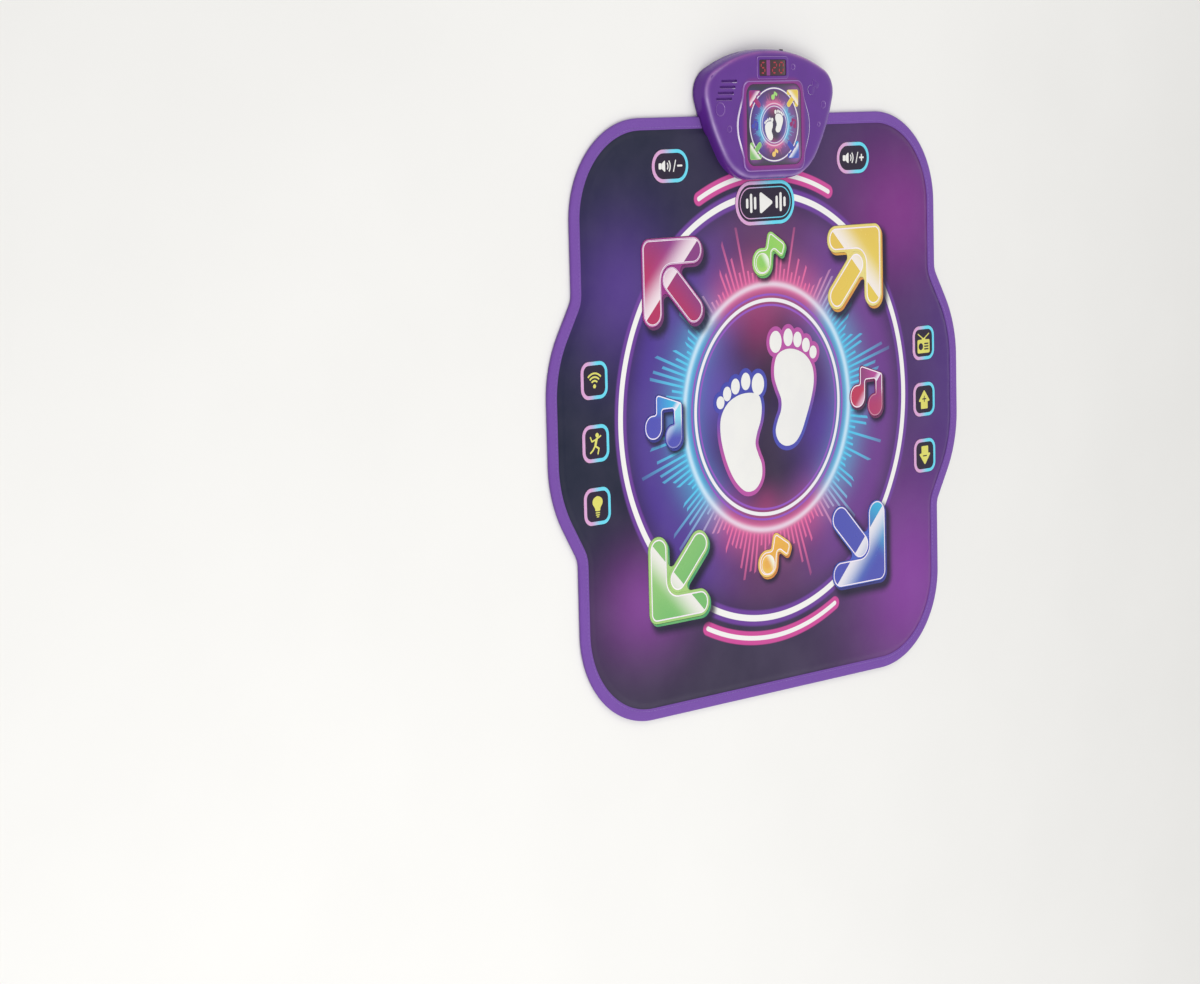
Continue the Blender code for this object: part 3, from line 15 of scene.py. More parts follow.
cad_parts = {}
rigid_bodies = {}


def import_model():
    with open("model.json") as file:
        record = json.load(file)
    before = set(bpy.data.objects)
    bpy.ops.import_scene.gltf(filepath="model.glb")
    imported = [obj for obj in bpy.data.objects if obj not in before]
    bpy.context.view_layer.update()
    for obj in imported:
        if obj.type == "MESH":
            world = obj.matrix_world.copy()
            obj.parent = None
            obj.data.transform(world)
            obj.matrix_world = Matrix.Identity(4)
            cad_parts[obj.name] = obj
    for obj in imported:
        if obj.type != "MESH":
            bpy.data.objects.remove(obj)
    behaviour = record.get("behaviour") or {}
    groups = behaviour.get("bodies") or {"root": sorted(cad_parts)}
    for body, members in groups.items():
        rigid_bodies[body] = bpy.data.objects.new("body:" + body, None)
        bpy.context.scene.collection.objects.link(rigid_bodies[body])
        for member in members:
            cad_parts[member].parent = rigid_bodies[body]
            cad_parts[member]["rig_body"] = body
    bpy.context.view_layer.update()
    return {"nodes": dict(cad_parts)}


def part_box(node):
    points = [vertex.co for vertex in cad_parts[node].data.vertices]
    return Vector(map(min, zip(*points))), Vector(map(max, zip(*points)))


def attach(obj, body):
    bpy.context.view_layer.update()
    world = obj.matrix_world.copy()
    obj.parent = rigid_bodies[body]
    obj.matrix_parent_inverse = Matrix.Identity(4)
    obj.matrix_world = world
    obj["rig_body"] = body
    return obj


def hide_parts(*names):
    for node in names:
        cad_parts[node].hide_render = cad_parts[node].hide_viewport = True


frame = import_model()

MM = 0.001
FINE = 0.08  # how far a drawn outline may cut inside its true arc
LONGEST = 9.0  # of the steps along a sheet's edge
PRINT_STEP = 0.012  # between prints that overlap, so that no two faces coincide
RING = 326.4  # radius of the printed play ring, the unit of the print's places

# Plan and layers of the mat, as the CAD has them
MAT_CORNERS = ((470.0, 98.0, 190.0), (415.0, 190.0, 30.0), (415.0, 447.5, 147.0))
BINDING_WIDTH = 18.0
BINDING_TOP = 5.9
COVER_EDGE = 5.0
SLOPE_START = 18.6
SLOPE_END = 28.0
SHEET_INSET = 1.5
COVER_TOP = 8.9
PAD_LOW = 8.5
PAD_SHOULDER = 9.15
ICON_BASE = 0.5  # from a pad's shoulder to its dark middle
BOX_CUT_Y = 418.0
BOX_CLEARANCE = 1.5

# Arrows: the side of the mat that each is on, their band, and where their contact is from their tip
ARROWS = {"red": (-1, 1), "yellow": (1, 1), "green": (-1, -1), "blue": (1, -1)}
ARROW_TIP_X = 275.0
ARROW_TIP_Y = {1: 271.0, -1: -303.0}
ARROW_WIDTH = 42.0
ARROW_LENGTH = 131.0
ARROW_ROOT = 63.0  # from the tip to the middle of the stem's round end
CONTACT_IN = 36.0
ARROW_HALF = ARROW_WIDTH / 2 * math.sqrt(0.5)
ARROW_STEM = ARROW_LENGTH - ARROW_WIDTH / 2 + ARROW_HALF

# Notes: outlines from the middle of their left head, and the place of that middle
SINGLE_NOTE = (
    (-21, -21, 20.5), (21, -21, 20.5), (25, 18.5, 4), (47.5, 3.5, 6.5),
    (57.5, 26, 10), (16.5, 50, 8), (9.5, 21.5, 3.5), (-21, 21.5, 20.5),
)
DOUBLE_NOTE = (
    (-18.5, -19, 18), (18.5, -19, 18), (19.8, 24, 3.3), (44, 24, 3.3), (44, 1.5, 1), (25, 1.5, 17.9),
    (25, -35.5, 17.9), (62, -35.5, 17.9), (62.5, 33, 6.5), (6, 50, 6.5), (5.4, 19, 2.6), (-18.5, 19, 18),
)
PAIR_HEAD = (43.5, -17.5)  # middle of a pair's right head, from the middle of its left one
NOTES = {
    "green": (SINGLE_NOTE, -10.5, 223.5), "orange": (SINGLE_NOTE, -10.5, -242.5),
    "blue": (DOUBLE_NOTE, -258.0, -8.0), "red": (DOUBLE_NOTE, 211.0, -1.0),
}
PILL_PADS = (
    ("start_pad", (135.0, 67.0, 33.0), 0.0, 314.0),
    ("volume_down_pad", (78.0, 49.0, 24.0), -209.0, 376.0),
    ("volume_up_pad", (78.0, 49.0, 24.0), 209.0, 376.0),
)
MODE_PADS = (
    ("wireless_pad", -379.0, 72.0), ("free_dance_pad", -379.0, -20.0), ("memory_pad", -379.0, -112.0),
    ("radio_pad", 379.0, 72.0), ("level_up_pad", 379.0, -20.0), ("level_down_pad", 379.0, -112.0),
)

# Footprints in play ring radii: the sole, and each toe's place and half width and height
LEFT_FOOT = (
    (-0.055, 0.03), (-0.075, 0.065), (-0.14, 0.08), (-0.22, 0.072), (-0.29, 0.04), (-0.335, -0.02),
    (-0.34, -0.1), (-0.318, -0.19), (-0.28, -0.275), (-0.232, -0.34), (-0.17, -0.383), (-0.105, -0.378),
    (-0.062, -0.33),
    (-0.058, -0.268), (-0.082, -0.215), (-0.1, -0.165), (-0.088, -0.115), (-0.062, -0.06), (-0.052, -0.01),
)
RIGHT_FOOT = (
    (0.045, 0.2), (0.07, 0.245), (0.13, 0.265), (0.2, 0.258), (0.27, 0.225), (0.315, 0.17), (0.325, 0.1),
    (0.305, 0.02), (0.27, -0.06), (0.228, -0.14), (0.18, -0.185), (0.12, -0.195), (0.068, -0.17),
    (0.045, -0.12),
    (0.06, -0.07), (0.086, -0.02), (0.088, 0.03), (0.062, 0.085), (0.042, 0.14),
)
LEFT_TOES = (
    (-0.075, 0.115, 0.043, 0.052), (-0.16, 0.135, 0.032, 0.041), (-0.232, 0.117, 0.03, 0.037),
    (-0.29, 0.087, 0.028, 0.034), (-0.337, 0.05, 0.027, 0.03),
)
RIGHT_TOES = (
    (0.055, 0.305, 0.043, 0.052), (0.145, 0.32, 0.033, 0.042), (0.212, 0.305, 0.03, 0.037),
    (0.272, 0.275, 0.028, 0.034), (0.323, 0.237, 0.026, 0.031),
)
FEET = (("left", LEFT_FOOT, LEFT_TOES), ("right", RIGHT_FOOT, RIGHT_TOES))

# Control box
BOX_CORNERS = ((85.5, 349.5, 80.0), (132.3, 424.3, 250.0), (157.3, 501.2, 40.0), (68.0, 546.0, 270.0))
BOX_TOP = 29.0
BOX_RIM = 6.2
BOX_FRONT_RIM = 9.2
BOX_WALL = 2.4
UNDER_TOP = 28.2  # where forms that stand on the box's top begin
PLATEAU_CORNERS = (
    (68.0, 362.0, 14.0), (70.5, 386.0, 30.0), (87.0, 430.0, 60.0), (70.5, 473.0, 30.0), (67.0, 498.5, 14.0),
)
PLATEAU_TOP = 31.0
PANEL_PLACE = (0.0, 432.0)
PANEL_HALF = (62.0, 61.0)
PANEL_CORNER = 16.0
PANEL_TOP = 30.7
DISPLAY_PLACE = (0.0, 517.5)
LENS_TOP = 29.2
SLOTS_PLACE = (-103.5, 485.5)

# The picture on the box, a small print of the mat
PICTURE_RING = 54.8
SMALL_TIP = (56.0, 52.0)
SMALL_ARROW = 0.2
SMALL_NOTE = 0.1848
SMALL_FOOT = 0.19


# Drawing


def mirrored(half):
    """Adds the -X half to corners (x, y, radius) of the +X half, which run from low y to high y."""
    return list(half) + [(-x, y, radius) for x, y, radius in reversed(half)]


def placed(corners, x, y, scale=1.0):
    """Corners (x, y, radius) or points (x, y), scaled and then moved."""
    return [(c[0] * scale + x, c[1] * scale + y, *(radius * scale for radius in c[2:])) for c in corners]


def moved(outlines, x, y, scale=1.0):
    return [placed(points, x, y, scale) for points in outlines]


def rounded_box(width, height, radius, x=0.0, y=0.0):
    half = [(width / 2, -height / 2, radius), (width / 2, height / 2, radius)]
    return placed(mirrored(half), x, y)


def outline(corners, inset=0.0, error=FINE, longest=None):
    """Points of a polygon with rounded corners, moved inwards by inset; every inset gives as many."""
    count = len(corners)
    places = [Vector(corner[:2]) for corner in corners]
    edges = [places[(i + 1) % count] - places[i] for i in range(count)]
    turns = []
    for i in range(count):
        before, after = edges[i - 1], edges[i]
        turns.append(math.atan2(before.x * after.y - before.y * after.x, before.dot(after)))
    reach = [corners[i][2] * math.tan(abs(turns[i]) / 2) for i in range(count)]
    radii = []
    for i, (_, _, wanted) in enumerate(corners):
        before = (edges[i - 1].length - 0.5) / max(reach[i - 1] + reach[i], 1e-6)
        after = (edges[i].length - 0.5) / max(reach[i] + reach[(i + 1) % count], 1e-6)
        radii.append(wanted * min(1.0, before, after))
    points = []
    for i, radius in enumerate(radii):
        half_turn = abs(turns[i]) / 2
        before, after = edges[i - 1].normalized(), edges[i].normalized()
        normal = Vector((-before.y, before.x))
        inwards = (normal + Vector((-after.y, after.x))).normalized()
        side = 1 if turns[i] > 0 else -1
        new_radius = max(radius - side * inset, 0.05)
        corner = places[i] + inwards * inset / math.cos(half_turn)
        centre = corner + inwards * side * new_radius / math.cos(half_turn)
        spoke = normal * -side * new_radius
        steps = max(2, math.ceil(half_turn / math.acos(1 - min(error / radius, 0.3))))
        if longest:
            steps = max(steps, math.ceil(2 * half_turn * radius / longest))
        points += [centre + Matrix.Rotation(turns[i] * k / steps, 2) @ spoke for k in range(steps + 1)]
        if longest:
            following = (i + 1) % count
            straight = edges[i].length - radius * math.tan(half_turn)
            straight -= radii[following] * math.tan(abs(turns[following]) / 2)
            points.append(max(1, math.ceil(straight / longest)))
    return filled_in(points)


def filled_in(points):
    """An outline's points, with evenly spaced ones where it gives a number of steps to its next point."""
    found = []
    for i, entry in enumerate(points):
        if isinstance(entry, int):
            start, end = points[i - 1], points[(i + 1) % len(points)]
            found += [tuple(start.lerp(end, k / entry)) for k in range(1, entry)]
        else:
            found.append(tuple(entry))
    return found


def box_points(*numbers):
    return outline(rounded_box(*numbers))


def round_points(x, y, radius, count=48, tall=None):
    turns = [math.tau * k / count for k in range(count)]
    return [(x + radius * math.cos(turn), y + (tall or radius) * math.sin(turn)) for turn in turns]


def arc_band(radius, width, start, end, y=0.0, count=24):
    """Points of a band along an arc, between two angles in degrees, with square ends."""
    angles = [math.radians(start + (end - start) * k / count) for k in range(count + 1)]
    sides = []
    for size in (radius + width / 2, radius - width / 2):
        sides.append([(size * math.cos(a), y + size * math.sin(a)) for a in angles])
    return sides[0] + sides[1][::-1]


def bar(x1, y1, x2, y2, width):
    """Corners of a round-ended bar between two points."""
    way = (Vector((x2, y2)) - Vector((x1, y1))).normalized() * width / 2
    side = Vector((-way.y, way.x))
    start, end = Vector((x1, y1)) - way, Vector((x2, y2)) + way
    return outline([(c.x, c.y, width * 0.48) for c in (start - side, end - side, end + side, start + side)])


def smooth_curve(points, steps=8, closed=True):
    """Points of a smooth curve through a few points."""
    row = [points[-1], *points, *points[:2]] if closed else [points[0], *points, points[-1]]
    found = []
    for k in range(1, len(row) - 2):
        a, b, c, d = (Vector(point) for point in row[k - 1 : k + 3])
        for step in range(steps):
            t = step / steps
            curve = 2 * b + (c - a) * t + (2 * a - 5 * b + 4 * c - d) * t**2 + (3 * b - a - 3 * c + d) * t**3
            found.append(tuple(curve / 2))
    return found if closed else found + [tuple(points[-1])]


def anticlockwise(loop):
    area = sum(x1 * y2 - x2 * y1 for (x1, y1), (x2, y2) in zip(loop, loop[1:] + loop[:1]))
    return loop if area > 0 else loop[::-1]


def grown(points, size):
    """An outline moved outwards along its normals."""
    found = []
    for k, point in enumerate(points):
        way = (Vector(points[(k + 1) % len(points)]) - Vector(points[k - 1])).normalized()
        found.append(tuple(Vector(point) + Vector((way.y, -way.x)) * size))
    return found


def foot_outlines(sole, toes, unit, steps=8, count=40):
    """A footprint's sole and toes; the unit is the play ring's radius."""
    loop = anticlockwise(smooth_curve([(x * unit, y * unit) for x, y in sole], steps))
    return [loop] + [round_points(x * unit, y * unit, a * unit, count, b * unit) for x, y, a, b in toes]


def mat_outline(inset=0.0, longest=LONGEST):
    lower = [(x, -y, radius) for x, y, radius in reversed(MAT_CORNERS)]
    return outline(mirrored(lower + list(MAT_CORNERS)), inset, 0.2, longest)


def box_seat():
    """The plan of the control box with its clearance, which the sheets under it are cut out for."""
    return outline(mirrored(BOX_CORNERS), -BOX_CLEARANCE, 0.2)


def box_cut():
    """The part of the control box's plan that passes through the mat, behind the cut's edge."""
    seat = box_seat()
    flanks = sorted((y, x) for x, y in seat if x > 0 and 380.0 < y < 500.0)
    flank = float(np.interp(BOX_CUT_Y, *zip(*flanks)))
    kept = [(-flank, BOX_CUT_Y), (flank, BOX_CUT_Y)] + [p for p in seat if p[1] > BOX_CUT_Y + 0.5]
    return sorted(kept, key=lambda p: math.atan2(p[1] - BOX_CUT_Y - 60.0, p[0]))


def turned_arrow(corners, side_x, side_y):
    """Corners from an arrow's tip, set about its contact and turned to its corner of the mat."""
    turned = [((x + CONTACT_IN) * side_x, (y + CONTACT_IN) * side_y, radius) for x, y, radius in corners]
    return turned if side_x * side_y > 0 else turned[::-1]


def arrow_corners(side_x, side_y):
    """An arrow with its tip in a corner and its stem on the diagonal."""
    fork = ARROW_WIDTH * (1 + math.sqrt(0.5))
    arm = [
        (-ARROW_LENGTH, 0, 20.5), (-ARROW_LENGTH, -ARROW_WIDTH, 20.5), (-fork, -ARROW_WIDTH, 8.0),
        (-ARROW_STEM - ARROW_HALF, -ARROW_STEM + ARROW_HALF, 20.5),
    ]
    corners = [(0, 0, 16.0)] + arm + [(y, x, radius) for x, y, radius in reversed(arm)]
    return turned_arrow(corners, side_x, side_y)


def arrow_parts(side_x, side_y):
    """The bent band at an arrow's tip, and the bar whose round end fits in the band's corner."""
    width, length, half, far = ARROW_WIDTH, ARROW_LENGTH, ARROW_HALF, ARROW_STEM
    near = ARROW_ROOT - half
    band = [
        (0, 0, 16.0), (-length, 0, 20.5), (-length, -width, 20.5),
        (-width, -width, 21.0), (-width, -length, 20.5), (0, -length, 20.5),
    ]
    ends = ((-near - half, -near + half), (-far - half, -far + half), (-far + half, -far - half))
    stem = [(x, y, 20.5) for x, y in (*ends, (-near + half, -near - half))]
    return [turned_arrow(band, side_x, side_y), turned_arrow(stem, side_x, side_y)]


Pad = namedtuple("Pad", "name kind colour corners x y")


def pad_list():
    """Every pad, with its corners in place."""
    pads = []
    for colour, (side_x, side_y) in ARROWS.items():
        x = side_x * (ARROW_TIP_X - CONTACT_IN)
        y = ARROW_TIP_Y[side_y] - side_y * CONTACT_IN
        pads.append((f"arrow_pad_{colour}", "arrow", colour, arrow_corners(side_x, side_y), x, y))
    for colour, (corners, x, y) in NOTES.items():
        pads.append((f"note_pad_{colour}", "note", colour, corners, x, y))
    for name, size, x, y in PILL_PADS:
        pads.append((name, "plain", "dark", rounded_box(*size), x, y))
    for name, x, y in MODE_PADS:
        pads.append((name, "plain", "dark", rounded_box(55.0, 55.0, 16.0), x, y))
    return [Pad(*head, placed(corners, x, y), x, y) for *head, corners, x, y in pads]


PADS = pad_list()


# Modelling


def take(piece):
    """Leaves this piece as the only one selected."""
    if bpy.context.mode != "OBJECT":
        bpy.ops.object.mode_set(mode="OBJECT")
    for other in bpy.context.selected_objects:
        other.select_set(False)
    piece.select_set(True)
    bpy.context.view_layer.objects.active = piece
    return piece


def edit(piece, mode="FACE"):
    take(piece)
    bpy.ops.object.mode_set(mode="EDIT")
    bpy.ops.mesh.select_mode(type=mode)
    bpy.ops.mesh.select_all(action="SELECT")


def done(piece):
    bpy.ops.object.mode_set(mode="OBJECT")
    return piece


def linked(name, data):
    """A new object in the scene."""
    piece = bpy.data.objects.new(name, data)
    bpy.context.scene.collection.objects.link(piece)
    return piece


def meshed(name, vertices, faces):
    mesh = bpy.data.meshes.new(name)
    mesh.from_pydata(vertices, [], faces)
    return linked(name, mesh)


def modified(piece, kind, **settings):
    """Gives a piece a modifier and applies it."""
    step = piece.modifiers.new(kind.lower(), kind)
    for key, value in settings.items():
        setattr(step, key, value)
    take(piece)
    bpy.ops.object.modifier_apply(modifier=step.name)
    return piece


def boolean(piece, tool, operation="DIFFERENCE"):
    """Cuts or joins with a tool, which is used up."""
    modified(piece, "BOOLEAN", operation=operation, solver="EXACT", object=tool)
    bpy.data.objects.remove(tool)
    return piece


def outwards():
    bpy.ops.mesh.select_all(action="SELECT")
    bpy.ops.mesh.normals_make_consistent(inside=False)


def choose(piece, test):
    """Selects the faces that pass a test, in edit mode."""
    bpy.ops.object.mode_set(mode="OBJECT")
    for polygon in piece.data.polygons:
        polygon.select = bool(test(polygon))
    bpy.ops.object.mode_set(mode="EDIT")


def face_up(piece):
    """Selects the faces of the top, in edit mode."""
    bpy.ops.object.mode_set(mode="OBJECT")
    top = max(vertex.co.z for vertex in piece.data.vertices)
    choose(piece, lambda side: side.normal.z > 0.5 and abs(side.center.z - top) < 1e-6)


def raise_faces(height, along=0.0):
    bpy.ops.mesh.extrude_region_move(TRANSFORM_OT_translate={"value": (along * MM, 0.0, height * MM)})


def inset(across, up=0.0, **settings):
    bpy.ops.mesh.inset(thickness=across * MM, depth=up * MM, **settings)


def drawn(name, outlines, z, fill=True):
    """A flat face drawn on a 2D curve and made a mesh; an outline in another is a hole."""
    curve = bpy.data.curves.new(name, "CURVE")
    curve.dimensions = "2D"
    curve.fill_mode = "BOTH" if fill else "NONE"
    for points in outlines:
        spline = curve.splines.new("POLY")
        spline.points.add(len(points) - 1)
        spline.use_cyclic_u = True
        for place, (x, y) in zip(spline.points, points):
            place.co = (x * MM, y * MM, 0.0, 1.0)
    take(linked(name, curve))
    bpy.ops.object.convert(target="MESH")
    piece = bpy.context.view_layer.objects.active
    piece.data.name = name
    piece.location.z = z * MM
    bpy.ops.object.transform_apply()
    edit(piece, "VERT")
    bpy.ops.mesh.remove_doubles(threshold=0.000001)
    if not fill:
        bpy.ops.mesh.edge_face_add()
    return done(piece)


def prism(name, outlines, low, high, edge=0.0):
    """A solid between two heights, with the rim of its top rounded by edge."""
    piece = drawn(name, outlines, low)
    edit(piece)
    raise_faces(high - low - edge)
    outwards()
    if edge:
        face_up(piece)
        for step in range(3):
            before, after = math.radians(30 * step), math.radians(30 * (step + 1))
            across = (math.cos(before) - math.cos(after)) * edge
            inset(across, (math.sin(after) - math.sin(before)) * edge, use_boundary=True)
    return done(piece)


def block(name, low, high):
    """A box between two of its corners (x, y, z)."""
    return prism(name, [[low[:2], (high[0], low[1]), high[:2], (low[0], high[1])]], low[2], high[2])


def shade(piece, angle=30):
    take(piece)
    bpy.ops.object.shade_smooth_by_angle(angle=math.radians(angle))
    return piece


def joined(name, pieces):
    """Joins pieces into the first one."""
    take(pieces[0])
    for piece in pieces[1:]:
        piece.select_set(True)
    bpy.ops.object.join()
    pieces[0].name = name
    pieces[0].data.name = name
    return pieces[0]


def wear(piece, looks, body, slot, replaces=()):
    """Gives a piece its materials, the body that it rides on, its slot and the nodes that it stands for."""
    if looks:
        piece.data.materials.clear()
        for look in looks if isinstance(looks, (list, tuple)) else [looks]:
            piece.data.materials.append(look)
    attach(piece, body)
    if replaces:
        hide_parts(*replaces)
    return piece


def copied(node, name, angle=35):
    """A merged, smoothly shaded copy of a CAD node."""
    piece = frame["nodes"][node].copy()
    piece.data = piece.data.copy()
    piece.name = name
    piece.data.name = name
    for key in list(piece.keys()):
        del piece[key]
    piece.parent = None
    bpy.context.scene.collection.objects.link(piece)
    edit(piece, "VERT")
    bpy.ops.mesh.customdata_custom_splitnormals_clear()
    bpy.ops.mesh.remove_doubles(threshold=0.000002)
    bpy.ops.mesh.select_mode(type="FACE")
    bpy.ops.mesh.select_all(action="SELECT")
    bpy.ops.mesh.dissolve_limited(angle_limit=math.radians(0.5))
    return shade(done(piece), angle)


def node_body(node):
    return frame["nodes"][node]["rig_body"]


def node_box(node):
    """The lowest and the highest corner of a CAD node."""
    return ([value / MM for value in corner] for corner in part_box(node))


# Materials


def linear(code):
    """Linear colour of a hex code such as 6f3f98."""
    values = [int(code[i : i + 2], 16) / 255 for i in (0, 2, 4)]
    return (*[v / 12.92 if v <= 0.04045 else ((v + 0.055) / 1.055) ** 2.4 for v in values], 1.0)


class Value:
    """A value in a node tree; arithmetic on it places Math nodes."""

    def __init__(self, draw, socket):
        self.draw = draw
        self.socket = socket

    def __add__(self, other):
        return self.draw.math("ADD", self, other)

    def __sub__(self, other):
        return self.draw.math("SUBTRACT", self, other)

    def __rsub__(self, other):
        return self.draw.math("SUBTRACT", other, self)

    def __mul__(self, other):
        return self.draw.math("MULTIPLY", self, other)

    def __truediv__(self, other):
        return self.draw.math("DIVIDE", self, other)

    def __abs__(self):
        return self.draw.math("ABSOLUTE", self)

    def __lt__(self, other):
        return self.draw.math("LESS_THAN", self, other)

    def __gt__(self, other):
        return self.draw.math("GREATER_THAN", self, other)


class Nodes:
    """Short ways to place nodes in one tree."""

    def __init__(self, tree):
        self.tree = tree

    def put(self, socket, value):
        if isinstance(value, Value):
            self.tree.links.new(value.socket, socket)
        else:
            socket.default_value = linear(value) if isinstance(value, str) else value

    def node(self, kind, inputs, **settings):
        made = self.tree.nodes.new(kind)
        for key, value in settings.items():
            setattr(made, key, value)
        for key, value in inputs.items():
            self.put(made.inputs[key], value)
        return made

    def add(self, kind, inputs, out=0, **settings):
        """Places a shader node and gives one of its outputs."""
        return Value(self, self.node("ShaderNode" + kind, inputs, **settings).outputs[out])

    def group(self, name, inputs):
        """Places one of the shared groups and gives its outputs by name."""
        made = self.node("ShaderNodeGroup", inputs, node_tree=GROUPS[name])
        return {socket.name: Value(self, socket) for socket in made.outputs}

    def math(self, operation, *values):
        return self.add("Math", dict(enumerate(values)), operation=operation)

    def parts(self, vector):
        """The x, y and z of a vector."""
        return [Value(self, socket) for socket in self.node("ShaderNodeSeparateXYZ", {0: vector}).outputs]

    def far(self, x, y):
        """How far a place is from the origin."""
        return self.math("SQRT", x * x + y * y)

    def mix(self, share, a, b):
        return self.add("Mix", {0: share, 6: a, 7: b}, 2, data_type="RGBA", clamp_result=True)

    def ramp(self, value, low, high, start=0.0, end=1.0):
        """A smooth step from start, where the value is low, to end, where it is high."""
        inputs = {"Value": value, "From Min": low, "From Max": high, "To Min": start, "To Max": end}
        return self.add("MapRange", inputs, interpolation_type="SMOOTHSTEP")

    def between(self, share, start, end):
        """Goes from start to end as a share goes from 0 to 1."""
        return self.ramp(share, 0.0, 1.0, start, end)

    def band(self, value, middle, half, soft):
        """1 within half of the middle, with soft edges."""
        return 1.0 - self.ramp(abs(value - middle), half, half + soft)

    def glow(self, value, middle, width):
        """A bell that is 1 where the value is at its middle."""
        off = (value - middle) / width
        return self.math("EXPONENT", off * off * -1.0)

    def noise(self, vector, scale, detail=2.0, rough=0.5):
        inputs = {"Vector": vector, "Scale": scale, "Detail": detail, "Roughness": rough}
        return self.add("TexNoise", inputs, "Fac")

    def bump(self, height, distance, strength):
        return self.add("Bump", {"Height": height, "Distance": distance, "Strength": strength}, "Normal")


def new_group(name, numbers, outputs):
    """A node group on a vector and numbers, still empty: its Nodes, its inputs and its output sockets."""
    draw = Nodes(bpy.data.node_groups.new(name, "ShaderNodeTree"))
    sockets = draw.tree.interface
    sockets.new_socket("Vector", in_out="INPUT", socket_type="NodeSocketVector")
    for label, value in numbers.items():
        sockets.new_socket(label, in_out="INPUT", socket_type="NodeSocketFloat").default_value = value
    for label in outputs:
        sockets.new_socket(label, in_out="OUTPUT", socket_type="NodeSocketFloat")
    start = draw.tree.nodes.new("NodeGroupInput")
    given = {label: Value(draw, start.outputs[label]) for label in ("Vector", *numbers)}
    return draw, given, draw.tree.nodes.new("NodeGroupOutput").inputs


def grain_group():
    """Fine moulded or leathery grain, with slow stains in it."""
    scales = {"Grain Scale": 900.0, "Stain Scale": 14.0}
    draw, given, out = new_group("surface_grain", scales, ("Height", "Stain"))
    draw.put(out["Height"], draw.noise(given["Vector"], given["Grain Scale"], 3.0, 0.6))
    slow = draw.noise(given["Vector"], given["Stain Scale"], 4.0, 0.55)
    draw.put(out["Stain"], draw.ramp(slow, 0.3, 0.7))
    return draw.tree


def weave_group():
    """A plain weave on a flat vector: its height and a change from thread to thread."""
    draw, given, out = new_group("plain_weave", {"Threads": 1400.0}, ("Height", "Thread"))
    scaled = draw.add("VectorMath", {0: given["Vector"], "Scale": given["Threads"]}, operation="SCALE")
    x, y, _ = draw.parts(scaled)
    waves = []
    for along, across in ((x, y), (y, x)):
        turned = along + draw.math("FLOOR", across)
        over = draw.math("SINE", turned * math.pi) + 1.0
        waves.append(over * abs(draw.math("SINE", across * math.pi)))
    draw.put(out["Height"], draw.math("MAXIMUM", *waves) * 0.5)
    cell = draw.add("VectorMath", {0: scaled}, operation="FLOOR")
    draw.put(out["Thread"], draw.add("TexWhiteNoise", {"Vector": cell}, "Value"))
    return draw.tree


def polar_group():
    """Place on the print, in play ring radii, as x, y, radius and angle."""
    draw, given, out = new_group("print_place", {"Unit": RING * MM}, ("X", "Y", "Radius", "Angle"))
    x, y, _ = draw.parts(given["Vector"])
    x, y = x / given["Unit"], y / given["Unit"]
    draw.put(out["X"], x)
    draw.put(out["Y"], y)
    draw.put(out["Radius"], draw.far(x, y))
    draw.put(out["Angle"], draw.math("ARCTAN2", y, x))
    return draw.tree


GROUPS = {"grain": grain_group(), "weave": weave_group(), "polar": polar_group()}


class Look(Nodes):
    """A new material, with its Principled shader's sockets and its Object coordinates."""

    def __init__(self, name, roughness, **fixed):
        self.made = bpy.data.materials.new(name)
        self.made.use_nodes = True
        super().__init__(self.made.node_tree)
        self.shader = self.tree.nodes["Principled BSDF"].inputs
        for key, value in {"Roughness": roughness, **fixed}.items():
            self.shader[key.replace("_", " ")].default_value = value
        self.place = self.add("TexCoord", {}, "Object")

    def grain(self, fine, slow):
        """The height of a fine grain, and slow stains."""
        found = self.group("grain", {"Vector": self.place, "Grain Scale": fine, "Stain Scale": slow})
        return found["Height"], found["Stain"]

    def from_place(self, x=0.0, y=0.0):
        """The surface's place from a point, in millimetres."""
        px, py, _ = self.parts(self.place)
        return px / MM - x, py / MM - y

    def finished(self, colour, height, depth, strength=0.5, **more):
        """The material, with its colour, its relief and what else varies over it."""
        more["Normal"] = self.bump(height, depth, strength)
        for key, value in {"Base Color": colour, **more}.items():
            self.put(self.shader[key], value)
        return self.made


def plastic(name, colour, dark, roughness, grain=1600.0, depth=0.00003, **fixed):
    """A moulded or painted surface: its colour wanders a little, and a fine grain breaks its gloss."""
    look = Look(name, roughness, **fixed)
    height, stain = look.grain(grain, 22.0)
    gloss = look.between(stain, roughness * 0.85, min(1.0, roughness * 1.2))
    return look.finished(look.mix(stain * 0.5, colour, dark), height, depth, Roughness=gloss)


def pad_paint(name, colour, deep, roughness):
    """The glossy moulded vinyl of a pad in one colour that wanders to a deeper one."""
    return plastic(name, colour, deep, roughness, 1300.0, 0.00002, Specular_IOR_Level=0.3)


